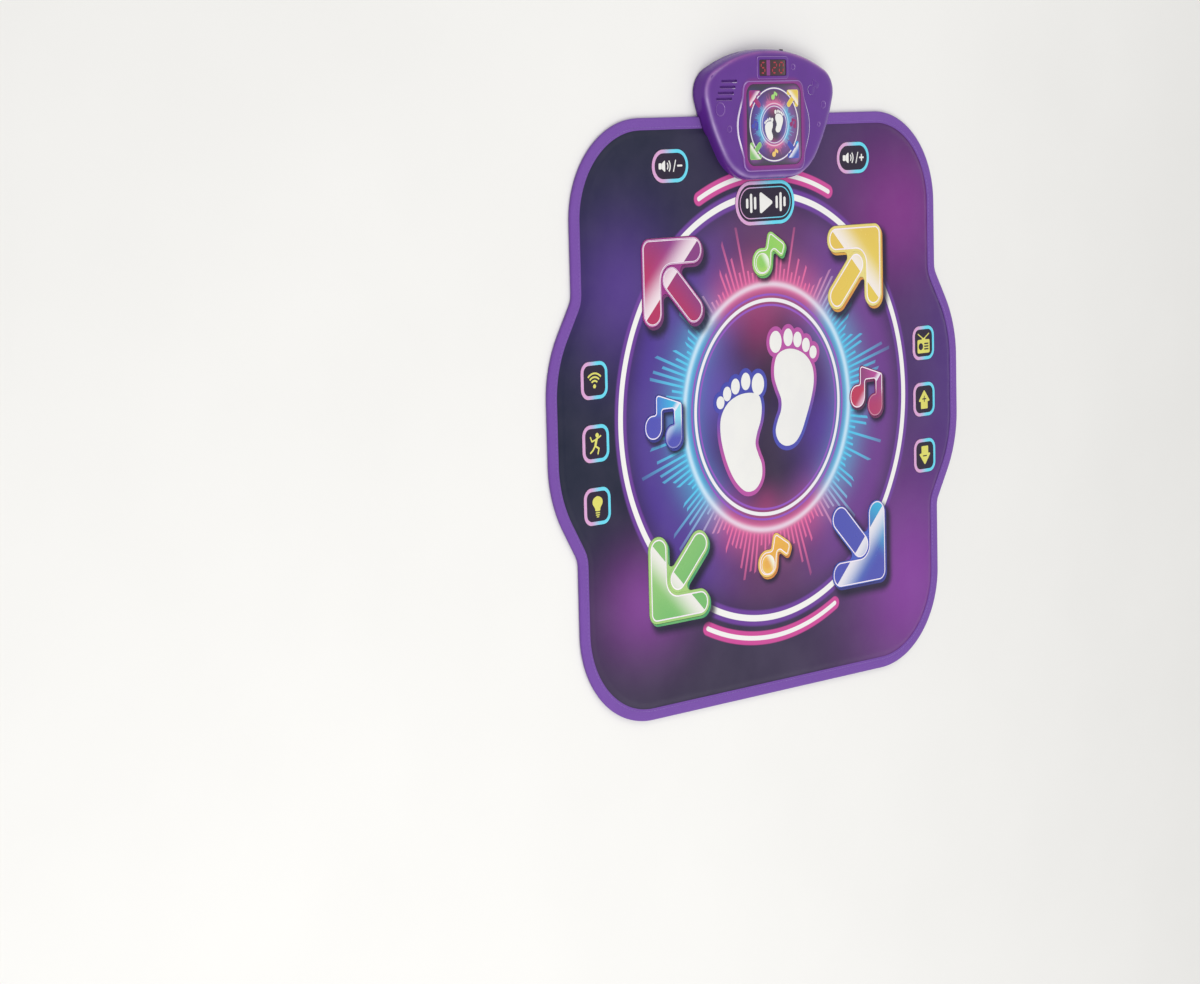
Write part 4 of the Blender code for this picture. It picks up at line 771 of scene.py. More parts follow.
def print_base(draw, x, y, radius, angle):
    """The ground of the print: dark blue and plum, with slow glows, lighter in the play ring."""
    ground = draw.mix(draw.ramp(x, -1.0, 1.1), "1b2133", "432d5c")
    ground = draw.mix(draw.ramp(y, -0.5, -1.25) * 0.7, ground, "3a3346")
    glows = (
        (1.0, 0.88, 0.42, 0.34, "7b3180", 0.95),
        (-0.96, 0.6, 0.32, 0.34, "533788", 0.85),
        (-0.85, -0.82, 0.3, 0.26, "7b3b8c", 0.92),
        (1.05, -0.95, 0.42, 0.52, "823f97", 0.95),
        (1.45, 0.05, 0.3, 0.8, "553585", 0.6),
    )
    for cx, cy, wide, tall, colour, most in glows:
        dx, dy = (x - cx) / wide, (y - cy) / tall
        glow = draw.math("EXPONENT", (dx * dx + dy * dy) * -1.0)
        ground = draw.mix(glow * most, ground, colour)
    in_ring = 1.0 - draw.ramp(radius, 0.95, 1.0)
    side = abs(draw.math("COSINE", angle))
    ring_ground = draw.mix(draw.ramp(x, -0.9, 0.7), "4f388e", "6c3c88")
    ring_ground = draw.mix(draw.ramp(side, 0.7, 0.1), ring_ground, "5c3862")
    ring_ground = draw.mix(draw.ramp(radius, 0.84, 1.04), ring_ground, "34274a")
    ground = draw.mix(in_ring * 0.92, ground, ring_ground)
    middle = 1.0 - draw.ramp(radius, 0.3, 0.52)
    ground = draw.mix(middle * 0.92, ground, "2a2236")
    inner_glows = (
        (-0.38, 0.1, 0.2, "5e4ca6"), (0.38, -0.12, 0.2, "4f3390"),
        (-0.05, 0.42, 0.16, "8a3566"), (-0.03, -0.46, 0.08, "7e3562"),
    )
    for cx, cy, size, colour in inner_glows:
        off = draw.far(x - cx, y - cy)
        ground = draw.mix(draw.glow(off, 0.0, size) * 0.8, ground, colour)
    return ground, side


# The print, in play ring radii
METER_BARS = 144
METER_FOOT = 0.6
ARC_RADIUS = 1.095
ARC_HALF = math.radians(24.5)


def spectrum(draw, radius, angle, side, ground):
    """Bars of light round the inner ring, as on a round level meter, with a soft glow under them."""
    turn = (angle + math.pi) * (METER_BARS / math.tau)
    inside_bar = abs(draw.math("FRACT", turn) - 0.5)
    number = draw.math("FLOOR", turn)
    chance = draw.add("TexWhiteNoise", {"W": number}, "Value", noise_dimensions="1D")
    swell = abs(draw.math("SINE", angle * 6.0))
    height = chance * swell * 0.3 + 0.63
    thin = 1.0 - draw.ramp(inside_bar, 0.16, 0.24)
    up = draw.ramp(radius, METER_FOOT - 0.005, METER_FOOT + 0.005) * (radius < height)
    fading = 1.0 - draw.ramp(radius, METER_FOOT, 0.95) * 0.85
    light = draw.mix(draw.ramp(side, 0.45, 0.85), "dc6a9c", "55bfe2")
    ground = draw.mix(draw.glow(radius, METER_FOOT, 0.12) * 0.42, ground, light)
    return draw.mix(thin * up * fading, ground, light), light


def arc_print(draw, radius, angle, way, ground):
    """A pink-edged white arc outside the play ring, at its top or its bottom."""
    along = draw.math("MAXIMUM", abs(angle - way) - ARC_HALF, 0.0) * ARC_RADIUS
    far = draw.far(along, radius - ARC_RADIUS)
    ground = draw.mix(1.0 - draw.ramp(far, 0.029, 0.036), ground, "c54a92")
    return draw.mix(1.0 - draw.ramp(far, 0.0095, 0.0125), ground, "e8e6e4")


def dance_print(draw, place, unit, arcs=True):
    """The whole print of the mat, from the centre of its play ring; the small picture has no outer arcs."""
    found = draw.group("polar", {"Vector": place, "Unit": unit})
    x, y, radius, angle = (found[key] for key in ("X", "Y", "Radius", "Angle"))
    ground, side = print_base(draw, x, y, radius, angle)
    ground, light = spectrum(draw, radius, angle, side, ground)
    ground = draw.mix(draw.glow(radius, 0.58, 0.032) * 0.85, ground, light)
    ground = draw.mix(draw.glow(radius, 0.58, 0.014) * 0.62, ground, "e4ecf4")
    for middle in (0.482, 0.531):
        ground = draw.mix(draw.band(radius, middle, 0.0035, 0.003), ground, "8f55b8")
    ground = draw.mix(draw.band(radius, 0.506, 0.0072, 0.003), ground, "e6e4e6")
    ground = draw.mix(draw.band(radius, 1.0, 0.03, 0.014) * 0.9, ground, "6c3f96")
    ground = draw.mix(draw.band(radius, 1.0, 0.0135, 0.003), ground, "e9e8e4")
    for way in (math.pi / 2, -math.pi / 2) if arcs else ():
        ground = arc_print(draw, radius, angle, way, ground)
    return ground


def cover_look():
    """Printed vinyl: the print, the pads' drop shadows, a fine embossing and scuffs that dull the gloss."""
    look = Look("printed_vinyl", 0.42, Specular_IOR_Level=0.12)
    ground = dance_print(look, look.place, RING * MM)
    shadow = look.add("Attribute", {}, "Fac", attribute_name="print_shadow")
    ground = look.mix(shadow * 0.94, ground, "1c1a2e")
    height, stain = look.grain(700.0, 9.0)
    scuff = look.noise(look.place, 60.0, 6.0, 0.7)
    gloss = look.ramp(scuff, 0.3, 0.8, 0.38, 0.47)
    return look.finished(look.mix(stain * 0.03, ground, "b9a8cc"), height, 0.00014, 0.6, Roughness=gloss)


def cloth_look(name, colour, dark, threads, on_tape=False):
    """Woven cloth, each thread a little different, with painted shade where the weave dips between threads.
    """
    look = Look(name, 0.9, Sheen_Weight=0.1, Specular_IOR_Level=0.15)
    if on_tape:
        look.place = look.add("UVMap", {}, "UV", uv_map="tape")
    weave = look.group("weave", {"Vector": look.place, "Threads": threads})
    _, stain = look.grain(300.0, 12.0)
    colour = look.mix(weave["Thread"] * 0.35, colour, dark)
    # Painted shade: darker where the weave is low, between the threads.
    colour = look.mix(look.ramp(weave["Height"], 0.35, 0.0), colour, dark)
    return look.finished(look.mix(stain * 0.15, colour, dark), weave["Height"], 0.00025, 0.7)


def grip_look():
    """Dark underside cloth with rows of rubber dots against slipping."""
    look = Look("grip_cloth", 0.85, Sheen_Weight=0.15)
    weave = look.group("weave", {"Vector": look.place, "Threads": 900.0})
    x, y, _ = look.parts(look.place)
    row = y / 0.0075
    shift = look.math("MODULO", look.math("FLOOR", row), 2.0) * 0.5
    column = x / 0.0086 + shift
    far = look.far(*(look.math("FRACT", value) - 0.5 for value in (row, column)))
    dot = 1.0 - look.ramp(far, 0.16, 0.22)
    _, stain = look.grain(400.0, 8.0)
    ground = look.mix(weave["Thread"] * 0.4, "4a4854", "3a3842")
    ground = look.mix(stain * 0.2, ground, "585462")
    height = weave["Height"] * 0.25 + dot * 1.5
    gloss = look.between(dot, 0.9, 0.55)
    return look.finished(look.mix(dot, ground, "17161b"), height, 0.0004, 0.7, Roughness=gloss)


VINYL = {"roughness": 0.22, "Specular_IOR_Level": 0.3, "Coat_Weight": 0.3, "Coat_Roughness": 0.08}


def vinyl(look, colour):
    """Ends the look of a pad's glossy face."""
    height, stain = look.grain(1200.0, 30.0)
    return look.finished(colour, height, 0.00003, 0.35, Roughness=look.between(stain, 0.18, 0.28))


def pad_look(name, colour, deep, bright, tip, way, turn, edge, start):
    """Glossy moulded vinyl whose light fold runs from the tip to a sharp diagonal."""
    look = Look(name, **VINYL)
    x, y = look.from_place(*tip)
    way = Vector(way).normalized()
    along = x * way.x + y * way.y
    aside = (x * way.y - y * way.x) / edge
    before = along < edge
    wander = aside + look.noise(look.place, 12.0, 1.0) * 0.6
    body = look.mix(look.ramp(wander, *turn), colour, deep)
    body = look.mix(look.ramp(along, start, edge) * before * 0.55, body, bright)
    fold = look.ramp(along, start + (edge - start) * 0.25, edge) * before
    return vinyl(look, look.mix(fold * 0.85, body, "ece4e6"))


def glint(look, x, y, radius, way):
    """A crescent of light on the side of a note's head that faces the way; x and y are from its middle."""
    return look.ramp(x * (way[0] / radius) + y * (way[1] / radius), 0.05, 0.95)


def head_look(name, colour, edge, x, y):
    """The glossy head of a single note, light at its upper right."""
    look = Look(name, **VINYL)
    px, py = look.from_place(x, y)
    body = look.mix(look.ramp(look.far(px, py), 5.0, 14.0), colour, edge)
    return vinyl(look, look.mix(glint(look, px, py, 15.0, (0.83, 0.55)) * 0.9, body, "e9efe4"))


def pair_look(name, x, y, head, beam, beam_end, stem, low, left_glint, right_glint):
    """A pair of notes: its beam pales towards a mitre at its right end, its post darkens to its head."""
    look = Look(name, **VINYL)
    px, py = look.from_place(x, y)
    mitre = (py - px + 27.0) * math.sqrt(0.5)
    right = px > 22.0
    left = 1.0 - right
    body = look.mix(look.ramp(px, 0.0, 55.0), beam, beam_end)
    body = look.mix(look.ramp(mitre, 11.0, 1.0) * right * 0.9, body, "e6e2ee")
    body = look.mix(look.ramp(py, 25.0, 10.0) * left, body, head)
    shine = glint(look, px, py + 1.0, 18.0, (0.75, -0.66)) * left * look.ramp(py, 12.0, 4.0)
    body = look.mix(shine * left_glint, body, "e4c4dc")
    post = look.mix(look.ramp(py, 18.0, -22.0), stem, low)
    shine = glint(look, px - PAIR_HEAD[0], py - PAIR_HEAD[1], 18.0, (-0.75, 0.66))
    shine = shine * look.ramp(py, 4.0, -1.0)
    post = look.mix(shine * right_glint, post, "c4c8e6")
    return vinyl(look, look.mix((mitre < 0.0) * right, body, post))


def pair_line_look(name, x, y, low):
    """The pale line round a pair of notes, which fades out round its right head."""
    look = Look(name, 0.25, Coat_Weight=0.5)
    far = look.far(*look.from_place(x + PAIR_HEAD[0], y + PAIR_HEAD[1]))
    colour = look.mix(look.ramp(far, 32.0, 18.0) * 0.8, "efe6f0", low)
    return look.finished(colour, look.noise(look.place, 1500.0, 3.0), 0.00002)


def neon_look(name, low, high):
    """The lit outline of a dark pad, pink on its left and cyan on its right."""
    look = Look(name, 0.3, Coat_Weight=0.2, Emission_Strength=0.08)
    x, _ = look.from_place()
    third = (high - low) / 3
    colour = look.mix(look.ramp(x, low + third * 0.6, high - third), "c78cbe", "3fc4dc")
    look.put(look.shader["Emission Color"], colour)
    look.put(look.shader["Base Color"], look.mix(look.noise(look.place, 120.0) * 0.12, colour, "ffffff"))
    return look.made


def fading_look(name, low_colour, high_colour, low, high):
    """A print that changes its colour from its lower to its upper end."""
    look = Look(name, 0.45, Specular_IOR_Level=0.2)
    _, y = look.from_place()
    wander = y + look.noise(look.place, 40.0) * 12.0
    height, _ = look.grain(1100.0, 30.0)
    colour = look.mix(look.ramp(wander, low, high), low_colour, high_colour)
    return look.finished(colour, height, 0.00005, 0.4)


def lit_look(name, colour, dark, strength):
    look = Look(name, 0.35, Emission_Strength=strength)
    tint = look.mix(look.noise(look.place, 200.0, 1.0), colour, dark)
    for socket in ("Base Color", "Emission Color"):
        look.put(look.shader[socket], tint)
    return look.made


def cell_look():
    """A cell's printed sleeve: dark, with a copper band near one end and bare metal past the sleeve."""
    look = Look("battery_sleeve", 0.3, Coat_Weight=0.3)
    _, y = look.from_place()
    sleeve = look.mix(look.ramp(y, 503.5, 504.0), "26292f", "b4763c")
    height, stain = look.grain(900.0, 60.0)
    colour = look.mix(stain * 0.2, sleeve, "3a3c44")
    return look.finished(colour, height, 0.00001, 0.4, Metallic=look.ramp(y, 503.5, 504.0, 0.0, 0.8))


def panel_depth(look):
    """How deep the surface is inside the rounded edge of the picture panel, in millimetres."""
    local = look.from_place(*PANEL_PLACE)
    sides = [abs(part) - (half - PANEL_CORNER) for part, half in zip(local, PANEL_HALF)]
    corner = look.far(*(look.math("MAXIMUM", side, 0.0) for side in sides))
    inner = look.math("MINIMUM", look.math("MAXIMUM", *sides), 0.0)
    return PANEL_CORNER - (corner + inner)


def picture_look():
    """A small print of the mat under clear film, dark at its edge."""
    look = Look("picture_print", 0.2, Specular_IOR_Level=0.4, Coat_Weight=0.3)
    centre = (PANEL_PLACE[0] * MM, PANEL_PLACE[1] * MM, 0.0)
    local = look.add("VectorMath", {0: look.place, 1: centre}, operation="SUBTRACT")
    picture = dance_print(look, local, PICTURE_RING * MM, arcs=False)
    picture = look.mix(look.ramp(panel_depth(look), 6.0, 0.5) * 0.75, picture, "2a1634")
    height, stain = look.grain(900.0, 20.0)
    return look.finished(picture, height, 0.00001, 0.4, Roughness=look.between(stain, 0.16, 0.26))


def housing_look():
    """Glossy moulded plastic, with a painted magenta reflection round the picture and a painted pale
    highlight along its edges.
    """
    look = Look("housing_plastic", 0.2, Specular_IOR_Level=0.2, Coat_Weight=0.25, Coat_Roughness=0.06)
    grain, stain = look.grain(2200.0, 22.0)
    body = look.mix(stain * 0.5, "5b2889", "53247e")
    _, y, z = (part / MM for part in look.parts(look.place))
    # Painted reflection: a magenta glow on the top faces, within 13 mm round the picture panel.
    lit = look.ramp(panel_depth(look), -13.0, -1.0) * look.ramp(z, 28.0, 28.9)
    body = look.mix(lit * 0.75, body, "8c2a7c")
    # Painted highlight: a pale band along the dome's shoulder, about 25 mm up. It is pale violet at the
    # front and magenta at the back, and patchy by noise.
    edge = look.mix(look.ramp(y, 460.0, 540.0), "b79ad2", "a65aa6")
    patchy_highlight = look.ramp(look.noise(look.place, 26.0), 0.25, 0.7, 0.45, 1.0)
    body = look.mix(look.glow(z, 25.2, 1.9) * patchy_highlight * 0.62, body, edge)
    return look.finished(body, grain, 0.000012, Roughness=look.between(stain, 0.17, 0.24))


def edge_shine_look():
    """The bevels of the raised frames with a painted pale highlight, palest on the flanks of the one round
    the picture.
    """
    look = Look("polished_edge", 0.2, Coat_Weight=0.4, Coat_Roughness=0.06)
    aside = abs(look.from_place()[0])
    flank = look.ramp(aside, 69.5, 76.0) * look.ramp(aside, 92.0, 89.0)
    grain, stain = look.grain(2200.0, 22.0)
    # Painted highlight: pale violet on the bevels, near white on the plateau's flanks.
    colour = look.mix(flank, "8f62ae", "f0e6f4")
    return look.finished(look.mix(stain * 0.3, colour, "7d54a4"), grain, 0.000012)


SHINE = "Specular IOR Level"

# Name, colour, darker colour, roughness, scale of the grain and its depth in metres, and fixed values
PLASTICS = {
    "thread": ("sewing_thread", "9070bd", "6f519f", 0.6, 4000.0, 0.0001, {}),
    "foam": ("foam", "d8d4cc", "c6c0b4", 0.95, 700.0, 0.0003, {}),
    "film": ("circuit_film", "cdc7a8", "b8b090", 0.35, 400.0, 0.00001, {}),
    "line": ("pale_line", "f3e9f1", "dccbe0", 0.25, 1500.0, 0.00002, {"Coat Weight": 0.5}),
    "dark": ("dark_vinyl", "2c2338", "231c2c", 0.3, 1300.0, 0.00003, {SHINE: 0.15}),
    "white": ("white_print", "e6e5e1", "dfdedd", 0.5, 1100.0, 0.00004, {SHINE: 0.2}),
    "yellow_print": ("yellow_print", "d8d46c", "cfc862", 0.45, 1100.0, 0.00005, {SHINE: 0.2}),
    "under_housing": ("under_housing", "552681", "4c2274", 0.3, 2200.0, 0.000012, {SHINE: 0.25}),
    "lens": ("display_lens", "3a1620", "2c1018", 0.08, 900.0, 0.000004, {SHINE: 0.3, "Coat Weight": 0.3}),
    "board": ("circuit_board", "1f6b3a", "17522c", 0.45, 500.0, 0.00005, {}),
    "steel": ("steel", "a7a9ac", "8d9094", 0.35, 1500.0, 0.00002, {"Metallic": 1.0}),
    "spring": ("nickel", "c4c2ba", "aeaca2", 0.3, 1500.0, 0.00002, {"Metallic": 1.0}),
    "dark_steel": ("dark_steel", "2c2c30", "232327", 0.5, 1500.0, 0.00002, {"Metallic": 0.6}),
    "cone": ("speaker_paper", "26262a", "1c1c20", 0.9, 900.0, 0.0002, {}),
    "black": ("black_plastic", "1f1f22", "17171a", 0.42, 1500.0, 0.00004, {}),
    "rubber": ("foot_rubber", "2a2a2d", "202022", 0.85, 900.0, 0.0001, {}),
    "strip": ("strip_print", "822c7e", "742a78", 0.35, 1300.0, 0.00002, {}),
    "module": ("display_module", "1c1214", "140c0e", 0.5, 900.0, 0.00003, {}),
    "led": ("led", "f4f1de", "e2dfca", 0.25, 900.0, 0.00001, {}),
}

# Face, deeper face, bright tint, rim, side, and where the face turns deeper
ARROW_COLOURS = {
    "red": ("7e2c78", "ac1c56", "c850a8", "9c2f84", "5c2a58", (-0.2, 0.8)),
    "yellow": ("dcc04a", "dab94e", "e6dc8c", "dfd184", "c8803c", (-0.2, 0.8)),
    "green": ("80b86a", "6cb062", "b6d490", "a4c878", "369060", (-0.2, 0.8)),
    "blue": ("4248a8", "2ca8d0", "5cacdc", "4a60b8", "2e2e70", (0.5, 1.2)),
}

# Face, deeper face, rim and side
NOTE_COLOURS = {
    "green": ("86c45c", "9ccb60", "9fd07c", "3a9458"),
    "orange": ("dda444", "e2b850", "e6c070", "bf6c34"),
    "blue": ("3c5cc0", "3b42a2", "4448a8", "2c2c74"),
    "red": ("b82c54", "962c6c", "8c2c68", "4a2448"),
}

# Head, beam, its end, post, its foot, and how strongly the left and the right head shine
PAIR_COLOURS = {
    "blue": ("4646aa", "3f70c4", "2cb0d8", "86d4e4", "4648aa", 0.0, 0.7),
    "red": ("b42850", "80306a", "b03c90", "94387e", "a82c62", 0.8, 0.0),
}


def arrow_looks(looks):
    for colour, (side_x, side_y) in ARROWS.items():
        face, deep, bright, rim, under, turn = ARROW_COLOURS[colour]
        way = (-side_x, -side_y)
        tip = (PANEL_PLACE[0] + side_x * SMALL_TIP[0], PANEL_PLACE[1] + side_y * SMALL_TIP[1])
        small = (tip, way, turn, 18.0, 6.0)
        looks["small_" + colour] = pad_look(colour + "_small_arrow", face, deep, bright, *small)
        large = ((ARROW_TIP_X * side_x, ARROW_TIP_Y[side_y]), way, turn, 90.0, 34.0)
        looks[colour + "_face"] = pad_look(colour + "_arrow_face", face, deep, bright, *large)
        looks[colour + "_rim"] = pad_paint(colour + "_arrow_rim", rim, face, 0.25)
        looks[colour + "_under"] = pad_paint(colour + "_arrow_side", under, face, 0.4)


def note_looks(looks):
    for colour, (_, x, y) in NOTES.items():
        face, deep, rim, under = NOTE_COLOURS[colour]
        looks[colour + "_note_rim"] = pad_paint(colour + "_note_rim", rim, deep, 0.25)
        looks[colour + "_note_under"] = pad_paint(colour + "_note_side", under, deep, 0.4)
        if colour in PAIR_COLOURS:
            tones = PAIR_COLOURS[colour]
            looks[colour + "_note_face"] = pair_look(colour + "_note_face", x, y, *tones)
            looks[colour + "_note_line"] = pair_line_look(colour + "_note_line", x, y, tones[4])
        else:
            looks[colour + "_note_face"] = pad_paint(colour + "_note_face", face, deep, 0.22)
            looks[colour + "_note_head"] = head_look(colour + "_note_head", face, deep, x, y)
            looks[colour + "_note_line"] = looks["line"]


def make_looks():
    looks = {key: plastic(*numbers, **fixed) for key, (*numbers, fixed) in PLASTICS.items()}
    looks.update({
        "cover": cover_look(),
        "binding": cloth_look("binding_cloth", "8056ac", "684196", 1700.0, on_tape=True),
        "base": grip_look(),
        "slot_cloth": cloth_look("slot_cloth_weave", "7040a0", "452068", 1300.0),
        "left_rim": fading_look("left_foot_rim", "b0529c", "4448a4", -70.0, 20.0),
        "right_rim": fading_look("right_foot_rim", "4a4ca6", "b0529c", -30.0, 70.0),
        "housing": housing_look(),
        "cell": cell_look(),
        "edge_shine": edge_shine_look(),
        "picture": picture_look(),
        "digits": lit_look("red_digits", "a8203a", "8c182c", 0.16),
    })
    arrow_looks(looks)
    note_looks(looks)
    for pad in PADS:
        if pad.kind == "plain":
            half = max(corner[0] for corner in pad.corners) - pad.x
            looks["neon_" + pad.name] = neon_look("lit_line_" + pad.name, pad.x - half, pad.x + half)
    return looks


# Mat


def inside(points, loop):
    """Which points lie inside a closed outline."""
    loop = np.asarray(loop, float)
    after = np.roll(loop, -1, axis=0)
    found = np.zeros(len(points), bool)
    for (x1, y1), (x2, y2) in zip(loop, after):
        if y1 == y2:
            continue
        crossing = (points[:, 1] > y1) != (points[:, 1] > y2)
        at = x1 + (points[:, 1] - y1) * (x2 - x1) / (y2 - y1)
        found ^= crossing & (points[:, 0] < at)
    return found


def distance(points, loop):
    """How far each point is from a closed outline."""
    start = np.asarray(loop, float)
    way = np.roll(start, -1, axis=0) - start
    size = np.maximum((way**2).sum(1), 1e-12)
    best = np.full(len(points), 1e9)
    for origin, step, square in zip(start, way, size):
        off = points - origin
        share = np.clip(off @ step / square, 0, 1)
        best = np.minimum(best, ((off - share[:, None] * step) ** 2).sum(1))
    return np.sqrt(best)


def eased(values, low, high):
    share = np.clip((values - low) / (high - low), 0, 1)
    return share * share * (3 - 2 * share)


def waves(places, size, seed):
    """Slow rises and hollows of a soft sheet, from -1 to 1."""
    x, y = places[:, 0] / size, places[:, 1] / size
    found = np.sin(x * 1.3 + seed + 1.7 * np.sin(y * 0.9 + seed))
    found += np.sin(y * 1.7 - seed + 1.3 * np.sin(x * 0.8))
    return found / 2 + 0.4 * np.sin(2.9 * x - 2.3 * y + seed) * np.sin(2.1 * y + 1.9 * x)


def vertex_places(piece):
    found = np.zeros(len(piece.data.vertices) * 3)
    piece.data.vertices.foreach_get("co", found)
    return found.reshape(-1, 3)


def stepped(loop, longest):
    """A closed outline with more points, so that none of its steps is too long."""
    found = []
    for (x1, y1), (x2, y2) in zip(loop, loop[1:] + loop[:1]):
        steps = max(1, math.ceil(math.hypot(x2 - x1, y2 - y1) / longest))
        found += [(x1 + (x2 - x1) * step / steps, y1 + (y2 - y1) * step / steps) for step in range(steps)]
    return found


EDGE_LOOPS = (SHEET_INSET, 5.0, 9.0, 13.0, 16.0, SLOPE_START, 21.0, 23.3, 25.6, SLOPE_END, 31.0, 35.0)
WINDOW_LOOPS = (3.5, 7.0, 10.5, 14.0, 18.0, 23.0)


def even_points(spacing, windows, edge, holes):
    """Even points of a sheet inside its edge, closer round its windows and none in or at its holes."""
    columns = np.arange(-465.0, 465.0, spacing)
    rows = np.arange(-445.0, 445.0, spacing * 0.87)
    grid = [(x + (spacing / 2 if k % 2 else 0.0), y) for k, y in enumerate(rows) for x in columns]
    for corners in windows:
        for off in WINDOW_LOOPS:
            grid += outline(corners, -off, 0.3, 5.0)
    grid = np.array(grid)
    keep = inside(grid, edge) & (distance(grid, edge) > spacing * 0.4)
    for hole in holes:
        keep &= ~inside(grid, hole) & (distance(grid, hole) > 2.0)
    return [tuple(point) for point in grid[keep]]


def sheet_mesh(name, height, spacing, windows=(), cut=None):
    """A soft sheet of the mat: fine loops along its edge and its windows, and even points between them."""
    edges = [mat_outline(into) for into in EDGE_LOOPS]
    holes = [stepped(cut or box_cut(), spacing)]
    holes += [outline(corners, -0.5, FINE, 5.0) for corners in windows]
    points, ties = [], []
    for number, loop in enumerate(edges + holes):
        if number == 0 or number >= len(edges):
            start = len(points)
            ties += [(start + k, start + (k + 1) % len(loop)) for k in range(len(loop))]
        points += loop
    points += even_points(spacing, windows, edges[-1], holes)
    found = geometry.delaunay_2d_cdt([Vector(point) for point in points], ties, [], 1, 1e-6)
    places = np.array([tuple(point) for point in found[0]])
    middles = np.array([places[list(face)].mean(0) for face in found[2]])
    within = inside(middles, edges[0])
    for hole in holes:
        within &= ~inside(middles, hole)
    faces = [tuple(face) for face, kept in zip(found[2], within) if kept]
    heights = height(places, distance(places, mat_outline()))
    piece = meshed(name, [(x * MM, y * MM, z * MM) for (x, y), z in zip(places, heights)], faces)
    edit(piece, "VERT")
    bpy.ops.mesh.delete_loose()
    outwards()
    return done(piece)


def thicken(piece, thickness):
    """Gives a sheet its thickness, downwards from its face."""
    modified(piece, "SOLIDIFY", thickness=thickness * MM, offset=-1.0, use_even_offset=False)
    return shade(piece, 50)


def cover_height(places, into):
    """The cover lies flat round its pads and goes down into the seam, drawn in between the stitches."""
    z = COVER_EDGE + (COVER_TOP - COVER_EDGE) * eased(into, SLOPE_START - 1.0, SLOPE_END + 1.0)
    angle = np.arctan2(places[:, 1], places[:, 0])
    pucker = np.sin(angle * 92.0) * np.sin(angle * 31.0 + 1.0)
    z += 0.28 * pucker * np.exp(-(((into - 25.0) / 9.0) ** 2))
    near = np.full(len(places), 1e9)
    for pad in PADS:
        near = np.minimum(near, distance(places, outline(pad.corners, 0.0, 1.0)))
    quiet = eased(near, 14.0, 50.0) * eased(np.hypot(places[:, 0], places[:, 1]), 140.0, 190.0)
    return z + 0.3 * waves(places, 60.0, 0.7) * eased(into, 30.0, 70.0) * quiet


def base_height(places, into):
    return 1.0 + 0.9 * (1 - eased(into, SLOPE_START, SLOPE_END))


def padding_height(places, into):
    slope = eased(into, SLOPE_START, SLOPE_END)
    return 3.2 + 1.1 * slope - 0.12 * (1 + waves(places, 45.0, 2.1)) * eased(into, 30.0, 60.0)


def print_shadow(places):
    """How dark the printed drop shadow of the arrows and the notes is, from 0 to 1."""
    shadow = np.zeros(len(places))
    for pad in PADS:
        if pad.kind == "plain":
            continue
        reach = 24.0 if pad.kind == "arrow" else 15.0
        loop = np.array(outline(pad.corners, 0.0, 0.5)) + (reach * 0.4, -reach * 0.46)
        far = distance(places, loop)
        far[inside(places, loop)] *= -1
        shadow = np.maximum(shadow, 1 - eased(far, -1.5, reach * 0.5))
    return shadow


def make_cover(looks):
    cover = sheet_mesh("printed_cover", cover_height, 8.0, [pad.corners for pad in PADS])
    shadow = print_shadow(vertex_places(cover)[:, :2] / MM)
    attribute = cover.data.attributes.new("print_shadow", "FLOAT", "POINT")
    attribute.data.foreach_set("value", shadow.astype(np.float32))
    wear(thicken(cover, 1.4), looks["cover"], "mat", "cover", ["top_cover"])


def make_base(looks):
    cloth = sheet_mesh("base_sheet", base_height, 14.0, cut=box_seat())
    wear(thicken(cloth, 0.9), looks["base"], "mat", "base", ["bottom_sheet"])


def make_padding(looks):
    """The padding between the base and the cover, squeezed thin in the seam."""
    padding = sheet_mesh("padding_sheet", padding_height, 12.0, cut=box_seat())
    count = len(padding.data.vertices)
    thicken(padding, 1.0)
    found = vertex_places(padding)
    found[count:, :2] = found[:count, :2]
    places = found[:count, :2] / MM
    found[count:, 2] = (base_height(places, distance(places, mat_outline())) + 0.3) * MM
    padding.data.vertices.foreach_set("co", found.ravel())
    padding.data.update()
    wear(padding, looks["foam"], "mat", "foam", ["padding_foam"])


def make_spacer(looks):
    """The spacer between the circuit films, with its holes under the pads and round the lamps."""
    holes = [round_points(pad.x, pad.y, 11.0 if pad.kind == "arrow" else 7.0, 24) for pad in PADS]
    for number in range(1, 5):
        low, high = node_box(f"arrow_led_{number}")
        holes.append(round_points((low[0] + high[0]) / 2, (low[1] + high[1]) / 2, 5.0, 20))
    spacer = prism("spacer_sheet", [mat_outline(30.0)] + holes, 5.1, 6.6, 0.2)
    pillars = [round_points(side * 70.0, 385.0, 4.6, 20) for side in (-1, 1)]
    for outlines in ([box_cut()], pillars):
        boolean(spacer, prism("spacer_cut", outlines, 0.0, 12.0))
    wear(shade(spacer, 40), looks["foam"], "mat", "foam", ["spacer_foam"])


# Section of the edge tape: how far in from the mat's edge, and its height
TAPE_SECTION = (
    (18.0, 0.25), (17.4, 0.02), (12.0, 0.0), (6.0, 0.0), (2.2, 0.05), (0.8, 0.6), (0.12, 1.7),
    (0.0, 3.0), (0.12, 4.2), (0.8, 5.35), (2.2, 5.85), (6.0, 5.95),
    (12.0, 5.9), (15.0, 5.78), (17.4, 5.88), (18.0, 5.65),
    (18.0, 5.3), (12.0, 5.25), (2.6, 5.2), (0.9, 3.9), (0.7, 3.0), (0.9, 2.0),
    (2.6, 0.65), (12.0, 0.62), (18.0, 0.6),
)
TAPE_FOLD = 7  # the point of the section that lies on the mat's edge


def lengths_along(loop):
    """How far each point of a closed outline is along it, and its whole length."""
    found = [0.0]
    for before, after in zip(loop, loop[1:] + loop[:1]):
        found.append(found[-1] + math.dist(before, after))
    return found


